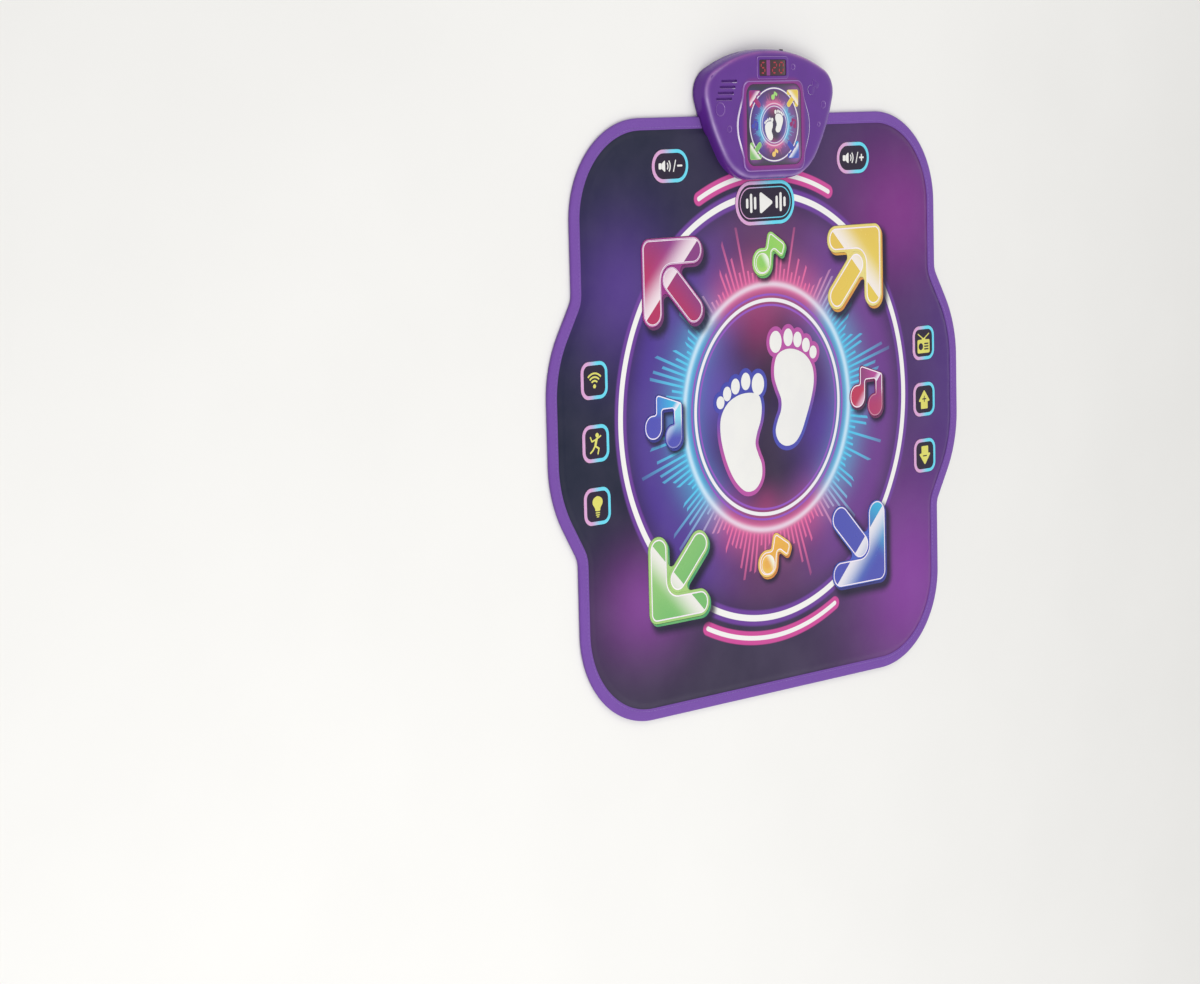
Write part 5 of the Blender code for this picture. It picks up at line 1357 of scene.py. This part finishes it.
def make_binding(looks):
    """The edge tape: folded round the sheets and sewn through, its face a little crowned."""
    rings = [mat_outline(into, 6.0) for into, _ in TAPE_SECTION]
    count = len(rings[0])
    lengths = lengths_along(rings[TAPE_FOLD])
    across = lengths_along(TAPE_SECTION)
    vertices, faces, uvs = [], [], []
    for i, ((_, z), ring) in enumerate(zip(TAPE_SECTION, rings)):
        vertices += [(x * MM, y * MM, z * MM) for x, y in ring]
        below = (i + 1) % len(rings)
        for k in range(count):
            after = (k + 1) % count
            faces.append((i * count + k, i * count + after, below * count + after, below * count + k))
            for column, row in ((k, i), (k + 1, i), (k + 1, i + 1), (k, i + 1)):
                uvs += [lengths[column] * MM, across[row] * MM]
    tape = meshed("edge_tape", vertices, faces)
    tape.data.uv_layers.new(name="tape").data.foreach_set("uv", uvs)
    edit(tape)
    outwards()
    done(tape)
    cut = box_cut()
    boolean(tape, prism("tape_cutter", [cut], -5.0, 20.0))
    wear(shade(tape, 50), looks["binding"], "mat", "binding", ["edge_binding"])
    stitches = make_stitches(looks)


SEAM_PLACE = BINDING_WIDTH - 3.6
STITCH_PITCH = 6.2


def one_stitch():
    """A thread's float, lying along X, thinner and lower at its ends where it goes into the tape."""
    turn = (0.0, math.pi / 2, 0.0)
    bpy.ops.mesh.primitive_cylinder_add(vertices=6, radius=0.42 * MM, depth=3.4 * MM, rotation=turn)
    thread = bpy.context.view_layer.objects.active
    bpy.ops.object.transform_apply()
    for end in (-1, 1):
        edit(thread)
        choose(thread, lambda side: side.normal.x * end > 0.9)
        raise_faces(-0.34, end * 0.7)
        bpy.ops.transform.resize(value=(1.0, 0.55, 0.55))
        done(thread)
    return thread


def make_stitches(looks):
    """The seam through the edge tape: one row of stitches on each of its faces."""
    thread = one_stitch()
    shape = vertex_places(thread)
    sides = [tuple(polygon.vertices) for polygon in thread.data.polygons]
    bpy.data.objects.remove(thread)
    row = np.array(mat_outline(SEAM_PLACE, 2.0))
    ways = np.roll(row, -1, axis=0) - row
    sizes = np.hypot(*ways.T)
    reach = np.concatenate([[0.0], np.cumsum(sizes)])
    count = int(reach[-1] / STITCH_PITCH)
    cut = box_cut()
    vertices, faces = [], []
    for at in reach[-1] * np.arange(count) / count:
        i = min(int(np.searchsorted(reach, at, side="right")) - 1, len(row) - 1)
        way = ways[i] / sizes[i]
        place = row[i] + way * (at - reach[i])
        if inside(place[None], cut)[0] or distance(place[None], cut)[0] < 3.5:
            continue
        for z, up in ((BINDING_TOP, 1), (0.05, -1)):
            faces += [tuple(len(vertices) + v for v in side) for side in sides]
            for x, y, h in shape:
                px = place[0] * MM + x * way[0] - up * y * way[1]
                py = place[1] * MM + x * way[1] + up * y * way[0]
                vertices.append((px, py, max(z * MM + up * h, 0.0)))
    piece = meshed("edge_stitches", vertices, faces)
    take(piece)
    bpy.ops.object.shade_smooth()
    return wear(piece, looks["thread"], "mat", "binding")


# Pads

# Steps of a pad towards its middle: how far across, how far up, and the material slot
SHOULDER = ((0.12, 0.28, 0), (0.25, 0.2, 0), (0.45, 0.14, 0))
TWIN_LINES = (
    (1.2, 0.03, 0), (0.12, 0.14, 1), (0.5, 0.0, 1), (0.12, -0.14, 1),
    (0.7, 0.0, 0), (0.12, 0.14, 1), (0.8, 0.0, 1), (0.2, -0.14, 1),
)
NEAR_LINE = ((0.8, 0.03, 0), (0.15, 0.14, 1), (1.4, 0.02, 1), (0.2, -0.14, 1))
FAR_LINE = ((3.2, 0.05, 0), (0.3, 0.18, 1), (1.4, 0.0, 1), (0.3, -0.16, 1))
NOTE_LINE = ((0.2, 0.16, 1), (1.2, 0.0, 1), (0.2, -0.16, 1), (0.4, 0.05, 2))
NOTE_HEAD = ((0.2, 0.2, 0), (1.0, 0.03, 0), (0.25, -0.1, 1), (2.4, 0.14, 1))
CROWN = ((1.4, 0.1, 2), (2.2, 0.08, 2))
PLATE = ((0.12, 0.1, 0), (0.4, 0.04, 0))
LIT_EDGE = (
    (0.12, 0.28, 1), (0.25, 0.2, 1), (0.45, 0.14, 1), (4.4, 0.04, 1), (0.25, -0.14, 1), (1.0, -0.02, 0),
)
INNER_LINE = ((2.9, 0.0, 0), (0.15, 0.08, 1), (1.3, 0.0, 1), (0.15, -0.08, 1), (0.8, 0.0, 0))


def paint(piece, slot):
    """Gives the selected faces a material slot, in edit mode."""
    piece.active_material_index = slot
    bpy.ops.object.material_slot_assign()


def pad_body(name, corners, looks, steps, low=PAD_LOW, shoulder=PAD_SHOULDER, into=0.0):
    """A moulded pad: its outline raised to a shoulder, then steps towards its middle."""
    piece = drawn(name, [outline(corners, into)], low, fill=False)
    for look in looks:
        piece.data.materials.append(look)
    edit(piece)
    raise_faces(shoulder - low)
    outwards()
    paint(piece, 0)
    face_up(piece)
    for across, up, slot in steps:
        paint(piece, slot)
        inset(across, up)
    return shade(done(piece), 40)


def arrow_pad(pad, looks):
    """A plate with the band and the bar raised on it, each with a pale line and a crowned face."""
    colours = (looks[pad.colour + "_rim"], looks["line"], looks[pad.colour + "_face"])
    steps = SHOULDER + {"red": TWIN_LINES, "blue": NEAR_LINE}.get(pad.colour, FAR_LINE) + CROWN
    parts = [pad_body(pad.name + "_face", pad.corners, colours, PLATE)]
    for form in arrow_parts(*ARROWS[pad.colour]):
        place = placed(form, pad.x, pad.y)
        parts.append(pad_body("part", place, colours, steps, PAD_SHOULDER, PAD_SHOULDER + 0.2, 0.1))
    return joined(pad.name + "_face", parts)


def note_pad(pad, looks):
    """A note with a pale line round it; a single one's head is a disc of its own."""
    rim, line, face = (looks[f"{pad.colour}_note_{part}"] for part in ("rim", "line", "face"))
    pair = pad.colour in PAIR_COLOURS
    steps = SHOULDER + ((0.4 if pair else 2.4, 0.03, 0),) + NOTE_LINE
    note = pad_body(pad.name + "_face", pad.corners, (rim, line, face), steps)
    if pair:
        return note
    disc = rounded_box(30.6, 30.6, 15.2, pad.x + 1.2, pad.y - 1.2)
    colours = (line, looks[pad.colour + "_note_head"])
    head = pad_body(pad.name + "_head", disc, colours, NOTE_HEAD, 9.5, 9.72)
    return joined(pad.name + "_face", [note, head])


def plain_pad(pad, looks):
    """A dark pad with a lit line round its edge."""
    steps = LIT_EDGE + (INNER_LINE if pad.name == "start_pad" else ())
    return pad_body(pad.name + "_face", pad.corners, (looks["dark"], looks["neon_" + pad.name]), steps)


def printed(name, outlines, z, look, body, slot="cover", height=0.16):
    """A thin raised print."""
    pieces = []
    for number, points in enumerate(outlines):
        pieces.append(prism(f"{name}_{number}", [points], z, z + height + PRINT_STEP * number, 0.06))
    piece = joined(name, pieces) if len(pieces) > 1 else pieces[0]
    piece.name = name
    return wear(shade(piece, 40), look, body, slot)


def bars(*numbers):
    return [bar(*ends) for ends in numbers]


def flipped(outlines):
    return [[(x, -y) for x, y in reversed(points)] for points in outlines]


def speaker_icon():
    horn = outline([(-4.2, -2.6, 0.6), (0.6, -6.2, 0.8), (0.6, 6.2, 0.8), (-4.2, 2.6, 0.6)])
    sound = [arc_band(radius, 1.5, -42, 42) for radius in (4.6, 7.8)]
    return [box_points(4.2, 6.0, 0.9, -6.6, 0.0), horn] + sound


def play_icon():
    """A triangle between rising and falling bars."""
    triangle = outline([(-13.0, -18.0, 3.0), (19.0, 0.0, 3.0), (-13.0, 18.0, 3.0)])
    levels = ((-23.5, 7.0), (-32.5, 12.0), (-41.5, 5.0), (26.0, 7.0), (35.0, 12.0), (44.0, 5.0))
    return [triangle] + [bar(x, -half, x, half, 5.2) for x, half in levels]


def dancer_icon():
    return [round_points(2.6, 12.0, 3.4)] + bars(
        (1.2, 6.0, -1.4, -2.6, 4.4), (0.8, 6.2, 9.8, 10.6, 2.4),
        (0.6, 6.0, -8.4, 3.4, 2.4), (-8.4, 3.4, -11.2, 9.6, 2.2), (-1.6, -3.6, 5.6, -7.6, 2.8),
        (5.6, -7.6, 3.6, -15.0, 2.6), (-2.2, -3.6, -6.4, -9.2, 2.8), (-6.4, -9.2, -11.6, -13.0, 2.6),
    )


def bulb_icon():
    glass = [(8.4, 11.4), (10.2, 4.6), (5.6, -2.4), (4.2, -6.6)]
    glass = smooth_curve([(0, 15), *glass, *((-x, y) for x, y in reversed(glass))])
    foot = ((3.4, -9.4, 1.9), (3.0, -12.6, 1.9), (1.6, -15.4, 1.6))
    return [glass] + [bar(-half, y, half, y, width) for half, y, width in foot]


def icons():
    """What each pad is for, drawn about its middle, and the key of the print's look."""
    speaker = moved(speaker_icon(), -12.0, 0.0, 1.5) + bars((6.6, -8.0, 11.4, 8.0, 2.0))
    minus = bars((16.0, 0.0, 24.4, 0.0, 2.8))
    plus = minus + bars((20.2, -4.2, 20.2, 4.2, 2.8))
    radio_waves = [arc_band(radius, 2.7, 45, 135, -8.5) for radius in (8.0, 13.4, 18.8)]
    radio = [box_points(31.0, 22.0, 2.6, 0.0, -5.6)]
    radio += bars((-1.5, 7.0, -13.5, 14.5, 2.0), (1.5, 7.0, 13.5, 14.5, 2.0))
    arrow = [(-8.6, -15.5, 1.0), (8.6, -15.5, 1.0), (8.6, -3.6, 0.8), (15.2, -3.6, 1.6)]
    arrow += [(0.0, 15.5, 1.8), (-15.2, -3.6, 1.6), (-8.6, -3.6, 0.8)]
    up = [outline(arrow)]
    return {
        "start_pad": (play_icon(), "white"),
        "volume_down_pad": (speaker + minus, "white"),
        "volume_up_pad": (speaker + plus, "white"),
        "wireless_pad": ([round_points(0.0, -8.5, 3.0)] + radio_waves, "yellow_print"),
        "free_dance_pad": (dancer_icon(), "yellow_print"),
        "memory_pad": (bulb_icon(), "yellow_print"),
        "radio_pad": (radio + [box_points(9.0, 3.2, 1.2, 0.0, 6.4)], "yellow_print"),
        "level_up_pad": (up, "yellow_print"),
        "level_down_pad": (flipped(up), "yellow_print"),
    }


def icon_details():
    """Dark marks on the icons: the radio's speaker and keys, and the signs of the level arrows."""
    radio = [round_points(-7.0, -5.8, 5.6)]
    radio += [box_points(11.0, 2.2, 0.9, 7.0, height) for height in (-1.4, -5.8, -10.2)]
    minus, plus = (-4.2, 0.0, 4.2, 0.0, 1.8), (0.0, -4.2, 0.0, 4.2, 1.8)
    return {
        "radio_pad": radio,
        "level_up_pad": moved(bars(minus, plus), 0.0, 0.6),
        "level_down_pad": moved(bars(minus), 0.0, -0.6),
    }


def printed_side(pad, look, reach):
    """The printed thickness of a pad, which shows on the cover below it and to its right."""
    form = outline(pad.corners, -0.3)
    whole = moved([form], reach, -reach * 1.1)
    side = prism(pad.name + "_side", whole, COVER_TOP - 0.3, COVER_TOP + 0.1, 0.05)
    for share in (0.33, 0.66):
        place = (reach * share, -reach * 1.1 * share)
        step = prism("step", moved([form], *place), COVER_TOP - 0.31, COVER_TOP + 0.09 + share * 0.02)
        boolean(side, step, "UNION")
    boolean(side, prism("window", [outline(pad.corners, -0.6)], COVER_TOP - 2.0, COVER_TOP + 2.0))
    wear(shade(side, 40), look, "mat", "cover")


def print_icon(pad, looks, drawing, detail):
    """A dark pad's icon, and the dark marks on it."""
    outlines, look = drawing
    body, top = pad.name + "_body", PAD_SHOULDER + ICON_BASE
    printed(pad.name + "_icon", moved(outlines, pad.x, pad.y), top, looks[look], body, "pad_dark")
    if detail:
        marks = moved(detail, pad.x, pad.y)
        printed(pad.name + "_detail", marks, top, looks["dark"], body, "pad_dark", 0.3)


def make_pads(looks):
    drawings, details = icons(), icon_details()
    makers = {"arrow": arrow_pad, "note": note_pad, "plain": plain_pad}
    for pad in PADS:
        made = makers[pad.kind](pad, looks)
        wear(made, None, pad.name + "_body", "pad_" + pad.colour, [pad.name])
        if pad.kind == "arrow":
            printed_side(pad, looks[pad.colour + "_under"], 3.6)
        elif pad.kind == "note":
            printed_side(pad, looks[pad.colour + "_note_under"], 3.0)
        else:
            print_icon(pad, looks, drawings[pad.name], details.get(pad.name))


def make_footprints(looks):
    """The two footprints inside the inner ring: white, each on a coloured outline."""
    for name, sole, toes in FEET:
        whites = foot_outlines(sole, toes, RING)
        printed(f"footprint_{name}", whites, COVER_TOP + 0.22, looks["white"], "mat", height=0.2)
        rims = [grown(points, 7.0) for points in whites]
        printed(f"footprint_{name}_rim", rims, COVER_TOP - 0.05, looks[name + "_rim"], "mat", height=0.22)


# Control box

# Section of the dome: how far in from its edge, and its height
DOME = ((0.0, BOX_RIM), (0.25, 12.0), (0.6, 17.0), (2.6, 23.0), (6.5, 26.8), (12.5, 28.5), (24.0, BOX_TOP))
DISCS = (
    (-118.0, 457.0, 10.4), (-98.6, 427.3, 5.2), (116.9, 460.2, 5.9), (105.4, 430.5, 3.9), (47.7, 518.3, 4.9),
)


def shell_form():
    """The moulded dome of the control box, drawn as an outline and taken in step by step to its top."""
    shell = drawn("upper_shell", [outline(mirrored(BOX_CORNERS), 0.0, 0.06)], BOX_RIM, fill=False)
    line = smooth_curve(DOME, 4, closed=False)
    edit(shell)
    if shell.data.polygons[0].normal.z < 0:
        bpy.ops.mesh.flip_normals()
    for (across, z), (next_across, next_z) in zip(line, line[1:]):
        inset(next_across - across, next_z - z)
    choose(shell, lambda side: abs(side.center.z - BOX_RIM * MM) < 1e-6 and abs(side.normal.z) > 0.9)
    bpy.ops.mesh.delete(type="FACE")
    outwards()
    done(shell)
    return modified(shell, "SOLIDIFY", thickness=BOX_WALL * MM, offset=-1.0, use_even_offset=True)


def slots():
    """The four sound slots, each a little to the left of the one above."""
    x, y = SLOTS_PLACE
    return [box_points(35.0, 3.6, 1.8, x - row * 4.0, y - row * 8.8) for row in (-1.5, -0.5, 0.5, 1.5)]


def relief(name, points, height, edge):
    """A form raised on the top of the dome."""
    return prism(name, [points], UNDER_TOP, BOX_TOP + height, edge)


def reliefs():
    """The discs with sunk middles, a lip along each slot, and a note."""
    found = []
    for number, (x, y, radius) in enumerate(DISCS):
        disc = relief(f"relief_{number}", round_points(x, y, radius), 0.5, 0.3)
        edit(disc)
        face_up(disc)
        inset(0.55)
        inset(0.5, -0.55)
        found.append(done(disc))
    for points in slots():
        left, right = min(x for x, _ in points), max(x for x, _ in points)
        low = min(y for _, y in points) - 0.75
        found.append(relief("slot_lip", bar(left + 1.5, low, right - 1.0, low, 1.0), 0.45, 0.4))
    note = outline(placed(SINGLE_NOTE, 87.5, 483.0, 0.34))
    return found + [relief("relief_note", note, 0.5, 0.2)]


def make_housing(looks):
    """The upper moulding: dome, plateau, display frame, openings, and what is raised on it."""
    shell = shell_form()
    plateau = outline(mirrored(PLATEAU_CORNERS), 0.0, 0.05)
    boolean(shell, prism("plateau", [plateau], UNDER_TOP, PLATEAU_TOP, 1.9), "UNION")
    boolean(shell, relief("display_frame", box_points(71.0, 34.0, 5.0, *DISPLAY_PLACE), 0.9, 0.8), "UNION")
    boolean(shell, block("front_rim", (-170.0, 330.0, 0.0), (170.0, BOX_CUT_Y, BOX_FRONT_RIM)))
    boolean(shell, prism("panel_recess", [box_points(124.6, 122.6, 16.3, *PANEL_PLACE)], 29.2, 35.0))
    openings = [box_points(61.6, 24.6, 2.8, *DISPLAY_PLACE)] + slots()
    boolean(shell, prism("openings", openings, 20.0, 35.0))
    boolean(shell, block("switch_window", (32.9, 535.0, 12.4), (43.1, 552.0, 17.6)))
    shell = shade(joined("upper_moulding", [shell] + reliefs()), 32)
    wear(shell, [looks["housing"], looks["edge_shine"]], "mat", "housing", ["upper_housing"])
    # Tilted faces above the box's top, the bevels of the raised frames, take the painted edge highlight.
    for polygon in shell.data.polygons:
        raised = polygon.center.z > (BOX_TOP + 0.1) * MM and 0.2 < polygon.normal.z < 0.97
        polygon.material_index = int(raised)


def make_panel(looks):
    """The picture under its clear film, with its small arrows, notes and footprints raised a little."""
    x, y = PANEL_PLACE
    width, height = (2 * half for half in PANEL_HALF)
    panel = prism("picture_film", [box_points(width, height, PANEL_CORNER, x, y)], 29.5, PANEL_TOP, 0.25)
    wear(shade(panel), looks["picture"], "mat", "panel", ["picture_panel"])

    def small(name, outlines, look, height, base=0.0):
        printed("small_" + name, outlines, PANEL_TOP + base, looks[look], "mat", "panel", height)

    contact_x, contact_y = (tip - CONTACT_IN * SMALL_ARROW for tip in SMALL_TIP)
    for colour, (side_x, side_y) in ARROWS.items():
        middle = (x + side_x * contact_x, y + side_y * contact_y)
        corners = placed(arrow_corners(side_x, side_y), *middle, SMALL_ARROW)
        small("arrow_" + colour, [outline(corners, 0.0, 0.03)], colour + "_rim", 0.1)
        small(f"arrow_{colour}_face", [outline(corners, 1.1, 0.03)], "small_" + colour, 0.05, 0.1)
    for pad in PADS:
        if pad.kind == "note":
            note = outline(placed(pad.corners, x, y, SMALL_NOTE), 0.0, 0.03)
            small(pad.name, [note], pad.colour + "_note_rim", 0.08)
    for name, sole, toes in FEET:
        foot = foot_outlines(sole, toes, RING * SMALL_FOOT, 4, 20)
        small("footprint_" + name, moved(foot, x, y), "white", 0.08)


DIGITS = {"5": "afgcd", "2": "abged", "0": "abcdef"}


def segments(digit, x, y):
    """The lit bars of one seven-segment digit, leaning a little."""
    w, h = 4.3, 7.8  # half of the digit's width and height
    half, gap = 1.05, 1.302  # half of a bar's width, and from the digit's corners to its bars' ends
    ends = {
        "a": ((-w + gap, h), (w - gap, h)),
        "b": ((w, h - gap), (w, gap)),
        "c": ((w, -gap), (w, -h + gap)),
        "d": ((-w + gap, -h), (w - gap, -h)),
        "e": ((-w, -gap), (-w, -h + gap)),
        "f": ((-w, h - gap), (-w, gap)),
        "g": ((-w + gap, 0), (w - gap, 0)),
    }
    found = []
    for name in DIGITS[digit]:
        start, end = (Vector(place) for place in ends[name])
        way = (end - start).normalized() * half
        side = Vector((-way.y, way.x))
        corners = (start, start + way - side, end - way - side, end, end - way + side, start + way + side)
        found.append([(p.x + x + p.y * 0.08, p.y + y) for p in corners])
    return found


def make_slot_cloth(looks):
    """The cloth behind the sound slots, glued under the top."""
    cloth = prism("slot_cloth", [box_points(62.0, 44.0, 4.0, *SLOTS_PLACE)], 26.1, 26.55, 0.1)
    wear(shade(cloth), looks["slot_cloth"], "mat", "housing")


def make_display(looks):
    """The lens over the display, its three red digits and the strip between them."""
    x, y = DISPLAY_PLACE
    lens = prism("display_window", [box_points(61.0, 24.0, 2.5, x, y)], 26.0, LENS_TOP, 0.2)
    wear(shade(lens), looks["lens"], "mat", "lens", ["display_lens"])
    lit = segments("5", x - 21.5, y) + segments("2", x + 4.5, y) + segments("0", x + 20.0, y)
    printed("display_digits", lit, LENS_TOP, looks["digits"], "mat", "lens", 0.07)
    strip = box_points(8.0, 23.4, 0.6, x - 9.5, y)
    printed("display_strip", [strip], LENS_TOP, looks["strip"], "mat", "lens", 0.06)


def make_screw(node, looks):
    """A screw with a cross recess in its head, which faces down."""
    low, high = node_box(node)
    x, y, z = (low[0] + high[0]) / 2, (low[1] + high[1]) / 2, low[2]
    reach = (high[0] - low[0]) * 0.34
    screw = copied(node, node + "_cross", 30)
    for arm in bars((x - reach, y, x + reach, y, 0.9), (x, y - reach, x, y + reach, 0.9)):
        boolean(screw, prism("cross", [arm], z - 0.5, z + 0.9))
    wear(shade(screw, 30), looks["steel"], node_body(node), "steel", [node])


def make_knob(looks):
    """The switch's knob, with soft edges and three grip grooves across its end."""
    node = "power_switch_slider"
    low, high = node_box(node)
    knob = modified(copied(node, "switch_knob"), "BEVEL", width=0.3 * MM, segments=2)
    for step in (-1, 0, 1):
        x = (low[0] + high[0]) / 2 + step * 1.2
        corners = ((x - 0.3, high[1] - 0.4, low[2] - 1.0), (x + 0.3, high[1] + 1.0, high[2] + 1.0))
        boolean(knob, block("groove", *corners))
    wear(shade(knob, 30), looks["black"], node_body(node), "black", [node])


def make_cells(looks):
    for number in range(1, 5):
        node = f"battery_{number}"
        wear(copied(node, node + "_wrapped", 40), looks["cell"], "mat", "cell", [node])


# Finishes of the CAD pieces that stay
FINISHES = {
    "film": ("lower_circuit_film", "upper_circuit_film", "flex_tail"),
    "black": ("tail_clamp", "power_switch_body"),
    "board": ("main_board",),
    "module": ("display_module",),
    "dark_steel": ("speaker_frame",),
    "cone": ("speaker_cone",),
    "spring": ("battery_contact_front", "battery_contact_rear"),
    "led": tuple(f"arrow_led_{k}" for k in range(1, 5)),
    "rubber": tuple(f"rubber_foot_{k}" for k in range(1, 5)),
}


def make_carried(looks):
    """Smooth copies of the other mouldings and the screws, and finishes for the CAD pieces that stay."""
    for node in ("lower_housing", "battery_door"):
        wear(copied(node, node + "_moulding"), looks["under_housing"], node_body(node), "housing", [node])
    for node in [f"housing_screw_{k}" for k in range(1, 7)] + ["battery_door_screw"]:
        make_screw(node, looks)
    for look, nodes in FINISHES.items():
        for node in nodes:
            for entry in frame["nodes"][node].material_slots:
                entry.material = looks[look]


# Stage

LAMPS = (
    ("key", (-1.6, -1.2, 2.6), 2.0, 46.0),
    ("fill", (0.5, -2.6, 2.0), 2.4, 20.0),
    ("back", (0.3, 2.4, 1.8), 1.8, 24.0),
    ("side", (3.2, 0.1, 1.0), 1.4, 2.0),
)


def make_world():
    """A white surround, brighter where it is seen or mirrored than where it lights."""
    world = bpy.data.worlds.new("studio")
    bpy.context.scene.world = world
    world.use_nodes = True
    draw = Nodes(world.node_tree)
    background = world.node_tree.nodes["Background"].inputs
    background["Color"].default_value = (1.0, 1.0, 1.0, 1.0)
    path = draw.node("ShaderNodeLightPath", {}).outputs
    rays = [Value(draw, path[f"Is {kind} Ray"]) for kind in ("Camera", "Transmission", "Glossy")]
    seen = draw.math("MAXIMUM", draw.math("MAXIMUM", *rays[:2]), rays[2])
    draw.put(background["Strength"], seen * 0.4 + 0.55)


def make_floor():
    bpy.ops.mesh.primitive_plane_add(size=30.0, location=(0.0, 0.0, 0.0))
    floor = bpy.context.view_layer.objects.active
    floor.name = "studio_floor"
    look = Look("floor_paper", 0.9)
    mottle = look.noise(look.place, 3.0, 3.0)
    look.put(look.shader["Base Color"], look.mix(mottle, "ecebe8", "e6e5e2"))
    floor.data.materials.append(look.made)


def make_lamps():
    for name, place, size, power in LAMPS:
        light = bpy.data.lights.new(name, "AREA")
        light.size = size
        light.energy = power
        lamp = linked(name, light)
        lamp.location = place
        lamp.rotation_euler = (-Vector(place)).to_track_quat("-Z", "Y").to_euler()


def make_camera():
    camera = bpy.data.cameras.new("camera")
    camera.lens = 90.91
    camera.sensor_width = 36.0
    camera.clip_end = 60.0
    seen = linked("camera", camera)
    seen.location = (-3.47337958, 0.45992699, 3.1058776)
    seen.rotation_euler = Euler([math.radians(a) for a in (-5.69261427, -45.20105188, -2.09019434)])
    bpy.context.scene.camera = seen
    bpy.context.scene.view_settings.view_transform = "Standard"


make_camera()
make_world()
make_floor()
make_lamps()
LOOKS = make_looks()
make_cover(LOOKS)
make_base(LOOKS)
make_padding(LOOKS)
make_spacer(LOOKS)
make_binding(LOOKS)
make_pads(LOOKS)
make_footprints(LOOKS)
make_housing(LOOKS)
make_panel(LOOKS)
make_slot_cloth(LOOKS)
make_display(LOOKS)
make_knob(LOOKS)
make_cells(LOOKS)
make_carried(LOOKS)
